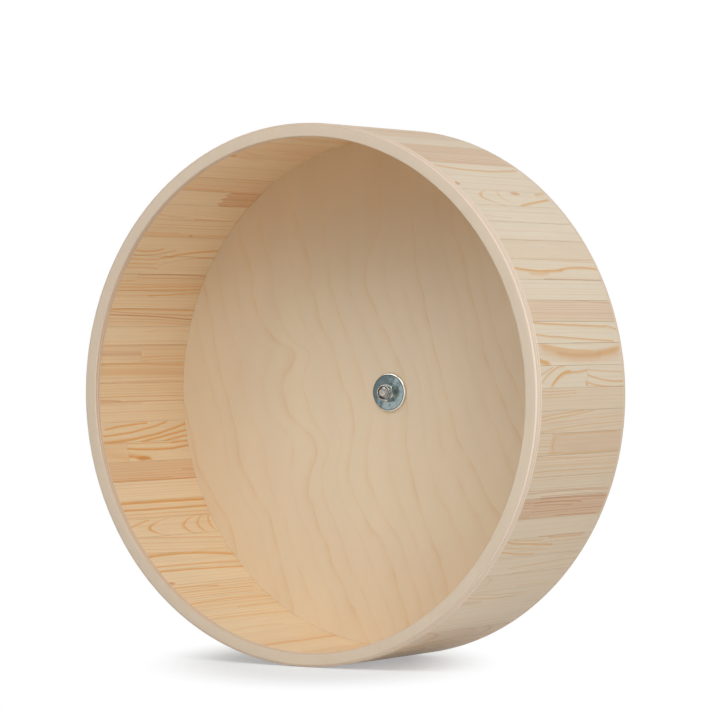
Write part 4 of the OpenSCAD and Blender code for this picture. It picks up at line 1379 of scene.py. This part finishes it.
@dataclass
class Axle:
    """The fixed axle with its threads, washers and nuts.

    Attributes:
        r: outside radius of the thread.
        pitch: pitch of the thread.
        root_share: depth of a metric thread as a share of its pitch.
        thread_form: place along a pitch and share of the full depth of each point of the thread.
        steps: number of steps round the axle.
        wall_end: how far the axle reaches behind the wall.
        nose: distance of its front end from the wall.
        chamfer: how far its ends are cut back.
        neck_r: radius of the neck inside the wall washer.
        neck_l: length of the neck, the wall washer's thickness.
        shank_front: distance of the plain shank's front end from the wall.
        washer_d: diameter of both washers.
        washer_rear: distance of the large washer's rear face from the wall.
        washer_t: thickness of the large washer.
        washer_gap: clearance between a washer and the axle.
        washer_steps: number of steps round a washer.
        flats: width of a nut across its flats.
        flats_l: height of the lock nut's flats.
        stop_l: height of the shoulder nut.
        nut_gap: clearance between a nut and the axle.
        nut_steps: number of steps round a nut.
        insert_steps: number of steps round the lock nut's ring.
        nut_turn_deg: angle of a nut's first corner.
        steel, plate, nut_plate, insert: finishes of the axle, the washers, the nuts and the lock nut's ring.
    """

    r: float = 4.0
    pitch: float = 1.25
    root_share: float = 0.6134
    thread_form: tuple[Spot, ...] = ((0.0, 0.0), (0.125, 0.0), (0.4375, 1.0), (0.6875, 1.0))
    steps: int = 40
    wall_end: float = -30.7
    nose: float = 44.1
    chamfer: float = 0.7
    neck_r: float = 3.55
    neck_l: float = 2.5
    shank_front: float = 34.0
    washer_d: float = 30.0
    washer_rear: float = 34.3
    washer_t: float = 1.5
    washer_gap: float = 0.2
    washer_steps: int = 128
    flats: float = 13.0
    flats_l: float = 5.3
    stop_l: float = 6.5
    nut_gap: float = 0.03
    nut_steps: int = 144
    insert_steps: int = 96
    nut_turn_deg: float = 99.0
    steel: Metal = Metal("axle_zinc", linear(152, 150, 148), linear(204, 194, 172), 0.18, 0.3, 1.0)
    plate: Metal = Metal("washer_zinc", linear(98, 112, 114), linear(150, 164, 164), 0.1, 0.8, 1.0, 0.014, 13.7)
    nut_plate: Metal = Metal("nut_zinc", linear(136, 146, 148), linear(196, 192, 182), 0.1, 0.4, 0.6)
    # The ring is navy nylon, set darker still as painted shade for its recess under the crown's lip
    insert: Nylon = Nylon("insert_nylon", linear(8, 10, 42), 0.45)

    def thread(self, shape: Shape, rear: float, front: float) -> None:
        """Add a length of thread that follows its helix.

        Args:
            shape: the axle's shape.
            rear: distance of its rear end from the wall.
            front: distance of its front end from the wall.
        """
        depth = self.root_share * self.pitch
        turns = math.ceil((front - rear) / self.pitch) + 1
        rows = []
        for turn in range(-1, turns):
            for share, cut in self.thread_form:
                row = []
                for k in range(self.steps + 1):
                    at = min(max(rear + (turn + share + k / self.steps) * self.pitch, rear), front)
                    end_r = self.r - self.chamfer + min(at - self.wall_end, self.nose - at)
                    r = min(self.r - depth * cut, end_r)
                    angle = 2 * math.pi * k / self.steps
                    row.append((r * math.cos(angle), -at, r * math.sin(angle)))
                rows.append(row)
        shape.grid(rows, False, False)

    def build_axle(self) -> None:
        """Make the axle: a thread for the wall, a neck, a shank and a thread for the wheel."""
        core = self.r - self.root_share * self.pitch
        tip, centre_r = 0.3, 0.01
        shape = Shape()
        rear_end = [(centre_r, self.wall_end), (core - tip, self.wall_end), (core, self.wall_end + tip)]
        shape.turn(rear_end, self.steps, False)
        self.thread(shape, self.wall_end, 0.0)
        profile = [(core, 0.0), (self.neck_r, 0.0), (self.neck_r, self.neck_l), (self.r, self.neck_l)]
        shape.turn([*profile, (self.r, self.shank_front), (core, self.shank_front)], self.steps, False)
        self.thread(shape, self.shank_front, self.nose)
        front_end = [(core, self.nose - tip), (core - tip, self.nose), (centre_r, self.nose)]
        shape.turn(front_end, self.steps, False)
        piece = shape.piece("threaded_axle", self.steel.material(), 25.0)
        weld(piece)
        fit(piece, "axle", "axle_steel", "axle")

    def build_washer(
        self, name: str, node: str, look: bpy.types.Material, rear: float, thick: float, roll: float
    ) -> None:
        """Make a pressed washer whose upper edge is rolled over.

        Args:
            name: the piece's name.
            node: the solid that it stands for.
            look: its finish.
            rear: distance of its rear face from the wall.
            thick: thickness.
            roll: radius of its front edge.
        """
        hole, outer = self.r + self.washer_gap, self.washer_d / 2
        front, rim, lead, trail = rear + thick, 0.05, 0.25, 0.15
        profile = [(outer - rim, rear), (outer, rear + rim)]
        profile += arc((outer - roll, front - roll), roll, 0, 90, 10)
        profile += [(hole + lead, front), (hole, front - lead), (hole, rear + trail), (hole + trail, rear)]
        fit(Shape().turn(profile, self.washer_steps).piece(name, look), "axle", "washer_zinc", node)

    def nut_row(self, at: float, limit: float) -> list[Point]:
        """Return points round a nut's six sides at one level.

        Args:
            at: the level's distance from the wall.
            limit: radius that cuts the corners back.

        Returns:
            The points.
        """
        row = []
        for k in range(self.nut_steps):
            angle = 2 * math.pi * k / self.nut_steps
            off = (math.degrees(angle) - self.nut_turn_deg) % 60 - 30
            r = min(self.flats / 2 / math.cos(math.radians(off)), limit)
            row.append((r * math.cos(angle), -at, r * math.sin(angle)))
        return row

    def build_nut(
        self, name: str, node: str, look: bpy.types.Material, rear: float, body_l: float, crown: list[Spot]
    ) -> None:
        """Make a six-sided nut with bevelled corners.

        Args:
            name: the piece's name.
            node: the solid that it stands for.
            look: its finish.
            rear: distance of its rear face from the wall.
            body_l: height of its six flats.
            crown: radius and height above the flats of each point from the flats' face to the bore.
        """
        corner, bore = self.flats / 2 / math.cos(math.radians(30)), self.r + self.nut_gap
        top, steps, rear_lead, front_lead = rear + body_l, 8, 0.6, 0.4
        bevel = corner - self.flats / 2
        rise = bevel * math.tan(math.radians(30))
        slant = [(rise * k / steps, corner - bevel * (1 - k / steps)) for k in range(steps + 1)]
        levels = [(rear, bore + rear_lead), (rear, self.flats / 2)]
        levels += [(rear + up, limit) for up, limit in slant[1:]]
        levels += [(top - up, limit) for up, limit in slant[::-1]]
        levels += [(top + up, r) for r, up in crown]
        levels += [(top - front_lead, bore), (rear + rear_lead, bore)]
        shape = Shape()
        shape.grid([self.nut_row(at, limit) for at, limit in levels], True, True)
        piece = shape.piece(name, look, 28.0)
        weld(piece)
        fit(piece, "axle", "nut_zinc", node)

    def build(self) -> None:
        """Make the axle and everything fixed to it."""
        washer_look, nut_look = self.plate.material(), self.nut_plate.material()
        self.build_axle()
        nut_rear = self.washer_rear + self.washer_t
        self.build_washer("big_washer", "large_washer", washer_look, self.washer_rear, self.washer_t, 1.4)
        self.build_washer("seat_washer", "wall_washer", washer_look, 0.0, self.neck_l, 0.5)
        crown = [(5.8, 0.0), *arc((5.2, 1.8), 0.6, 0, 90, 6)]
        crown += [(4.95, 2.4), (4.8, 2.25), (4.8, 1.9), (5.2, 1.9), (5.2, 0.0), (4.1, 0.0)]
        self.build_nut("crowned_nut", "lock_nut", nut_look, nut_rear, self.flats_l, crown)
        self.build_nut("stop_nut", "shoulder_nut", nut_look, self.neck_l, self.stop_l, [(4.7, 0.0)])
        insert = [(4.03, 0.0), (5.18, 0.0), (5.18, 1.9), (4.5, 1.9), (4.03, 1.5)]
        profile = [(r, nut_rear + self.flats_l + up) for r, up in insert]
        ring = Shape().turn(profile, self.insert_steps).piece("locking_insert", self.insert.material())
        fit(ring, "axle", "insert_nylon", "nylon_insert")


@dataclass
class Studio:
    """Camera, lamps, floor and surroundings.

    Attributes:
        camera_at: place of the camera, in metres.
        camera_right: direction to the picture's right.
        camera_forward: direction that the camera looks in.
        lens_mm: focal length.
        sensor_mm: width of the sensor.
        view_end: how far the camera sees, in metres.
        sky: strength of the light from all sides.
        floor_rings: radii of the floor's rings of points.
        floor_steps: number of points in each ring.
        shadow_at: middle of the shadow that the floor keeps.
        shadow_across: how the distance across the shadow grows with x and y.
        shadow_along: how the distance along the shadow grows with x and y.
        shadow_fade: distances at which the floor begins and ends its change to white.
        floor_tint: cool tint that the camera sees, against the wood's warm bounce.
        floor_glow: share of even white near the drum, and its brightness.
        lamp_size: side of a lamp's square, in metres.
        lamp_away: how far a lamp stands from the drum, in metres.
        lamps: name of each lamp, how many degrees it stands to the right of straight in front of the
            open side, how many degrees over the drum's middle, and its power in watts.
    """

    camera_at: Point = (1.47321, -2.34488, 0.04537)
    camera_right: Point = (0.83824, 0.54528, -0.00424)
    camera_forward: Point = (-0.54529, 0.83822, -0.00652)
    lens_mm: float = 181.42
    sensor_mm: float = 36.0
    view_end: float = 50.0
    sky: float = 0.12
    floor_rings: tuple[float, ...] = (1.0, 300.0, 600.0, 1000.0, 2400.0)
    floor_steps: int = 64
    shadow_at: Spot = (-11.0, -113.0)
    shadow_across: Spot = (0.838, 0.545)
    shadow_along: Spot = (-0.327, 0.503)
    shadow_fade: Spot = (60.0, 138.0)
    floor_tint: Colour = (0.955, 1.0, 1.045)
    floor_glow: Spot = (0.43, 0.85)
    lamp_size: float = 1.4
    lamp_away: float = 2.5
    lamps: tuple[tuple[str, float, float, float], ...] = (
        ("key_lamp", 40.0, 45.0, 25.0),
        ("left_lamp", -35.0, 40.0, 13.2),
        ("top_lamp", 0.0, 60.0, 2.0),
        ("side_lamp", 75.0, 35.0, 3.5),
        ("right_lamp", 100.0, 15.0, 12.6),
        ("low_lamp", 60.0, 5.0, 9.2),
        ("rear_lamp", 130.0, 50.0, 1.5),
        ("back_lamp", 180.0, 15.0, 14.0),
    )

    def build_camera(self) -> None:
        """Put up the camera at the photograph's viewing angle."""
        data = bpy.data.cameras.new("camera")
        data.lens = self.lens_mm
        data.sensor_width = self.sensor_mm
        data.clip_end = self.view_end
        camera = bpy.data.objects.new("camera", data)
        back = -Vector(self.camera_forward).normalized()
        right = Vector(self.camera_right)
        right = (right - back * right.dot(back)).normalized()
        turn = Matrix((right, back.cross(right), back)).transposed().to_4x4()
        camera.matrix_world = Matrix.Translation(self.camera_at) @ turn
        bpy.context.scene.collection.objects.link(camera)
        bpy.context.scene.camera = camera

    def build_lamps(self) -> None:
        """Put up the square soft lamps, which all face the drum."""
        for name, turn_deg, lift_deg, watts in self.lamps:
            turn, lift = math.radians(turn_deg), math.radians(lift_deg)
            aim = Vector((-math.sin(turn) * math.cos(lift), math.cos(turn) * math.cos(lift), -math.sin(lift)))
            data = bpy.data.lights.new(name, "AREA")
            data.size = self.lamp_size
            data.energy = watts
            lamp = bpy.data.objects.new(name, data)
            lamp.location = Vector((0.0, MIDDLE_Y * MM, 0.0)) - self.lamp_away * aim
            lamp.rotation_euler = aim.to_track_quat("-Z", "Y").to_euler()
            bpy.context.scene.collection.objects.link(lamp)

    def seen(self, s: Shader) -> Value:
        """Return whether a ray sees the surface rather than lights it.

        Args:
            s: the material or surroundings.

        Returns:
            1 for rays from the camera, a mirror or glass, and 0 for others.
        """
        rays = s.node("LightPath", {}).outputs
        camera, glossy, glass = (Value(s, rays[f"Is {kind} Ray"]) for kind in ("Camera", "Glossy", "Transmission"))
        return s.math("MAXIMUM", s.math("MAXIMUM", camera, glossy), glass)

    def build_world(self) -> None:
        """Surround the scene with even white."""
        s = Shader("white_surroundings", "World")
        bpy.context.scene.world = s.owner
        soft = s.value("Background", {0: (1.0, 0.985, 0.96), 1: self.sky})
        white = s.value("Background", {0: (1.0, 1.0, 1.0), 1: 1.0})
        s.show(s.value("MixShader", {0: self.seen(s), 1: soft, 2: white}))

    def build_floor(self) -> None:
        """Lay a plain pale floor that keeps the drum's shadow and fades into the white."""
        shape = Shape()
        angles = [2 * math.pi * k / self.floor_steps for k in range(self.floor_steps)]
        rows = [[(r * math.cos(a), r * math.sin(a) + MIDDLE_Y, FLOOR_Z) for a in angles] for r in self.floor_rings]
        shape.grid(rows, False, True)
        s = Shader("pale_floor")
        x, y, _ = s.place()
        seen = self.seen(s)
        side, ahead = x + -self.shadow_at[0], y + -self.shadow_at[1]
        across, along = (side * by_x + ahead * by_y for by_x, by_y in (self.shadow_across, self.shadow_along))
        matt = s.value("BsdfDiffuse", {0: s.mix(seen, linear(250, 250, 250), self.floor_tint)})
        pale = s.value("Emission", {0: (1.0, 1.0, 1.0), 1: self.floor_glow[1]})
        white = s.value("Emission", {0: (1.0, 1.0, 1.0), 1: 1.0})
        near = s.value("MixShader", {0: seen * self.floor_glow[0], 1: matt, 2: pale})
        fade = s.spread(s.length(across, along), *self.shadow_fade) * seen
        s.show(s.value("MixShader", {0: fade, 1: near, 2: white}))
        shape.piece("floor", s.owner)

    def build(self) -> None:
        """Put up everything round the object."""
        self.build_camera()
        self.build_world()
        self.build_floor()
        self.build_lamps()
        bpy.context.scene.view_settings.view_transform = "Standard"


def main() -> None:
    """Build the studio and every piece of the wheel, from the open side to the axle."""
    logging.basicConfig(level=logging.INFO, format="%(name)s: %(message)s")
    Studio().build()
    FrontRing().build()
    StaveBand().build()
    RearPanel().build()
    Hub().dress()
    Axle().build()


if __name__ == "__main__":
    main()
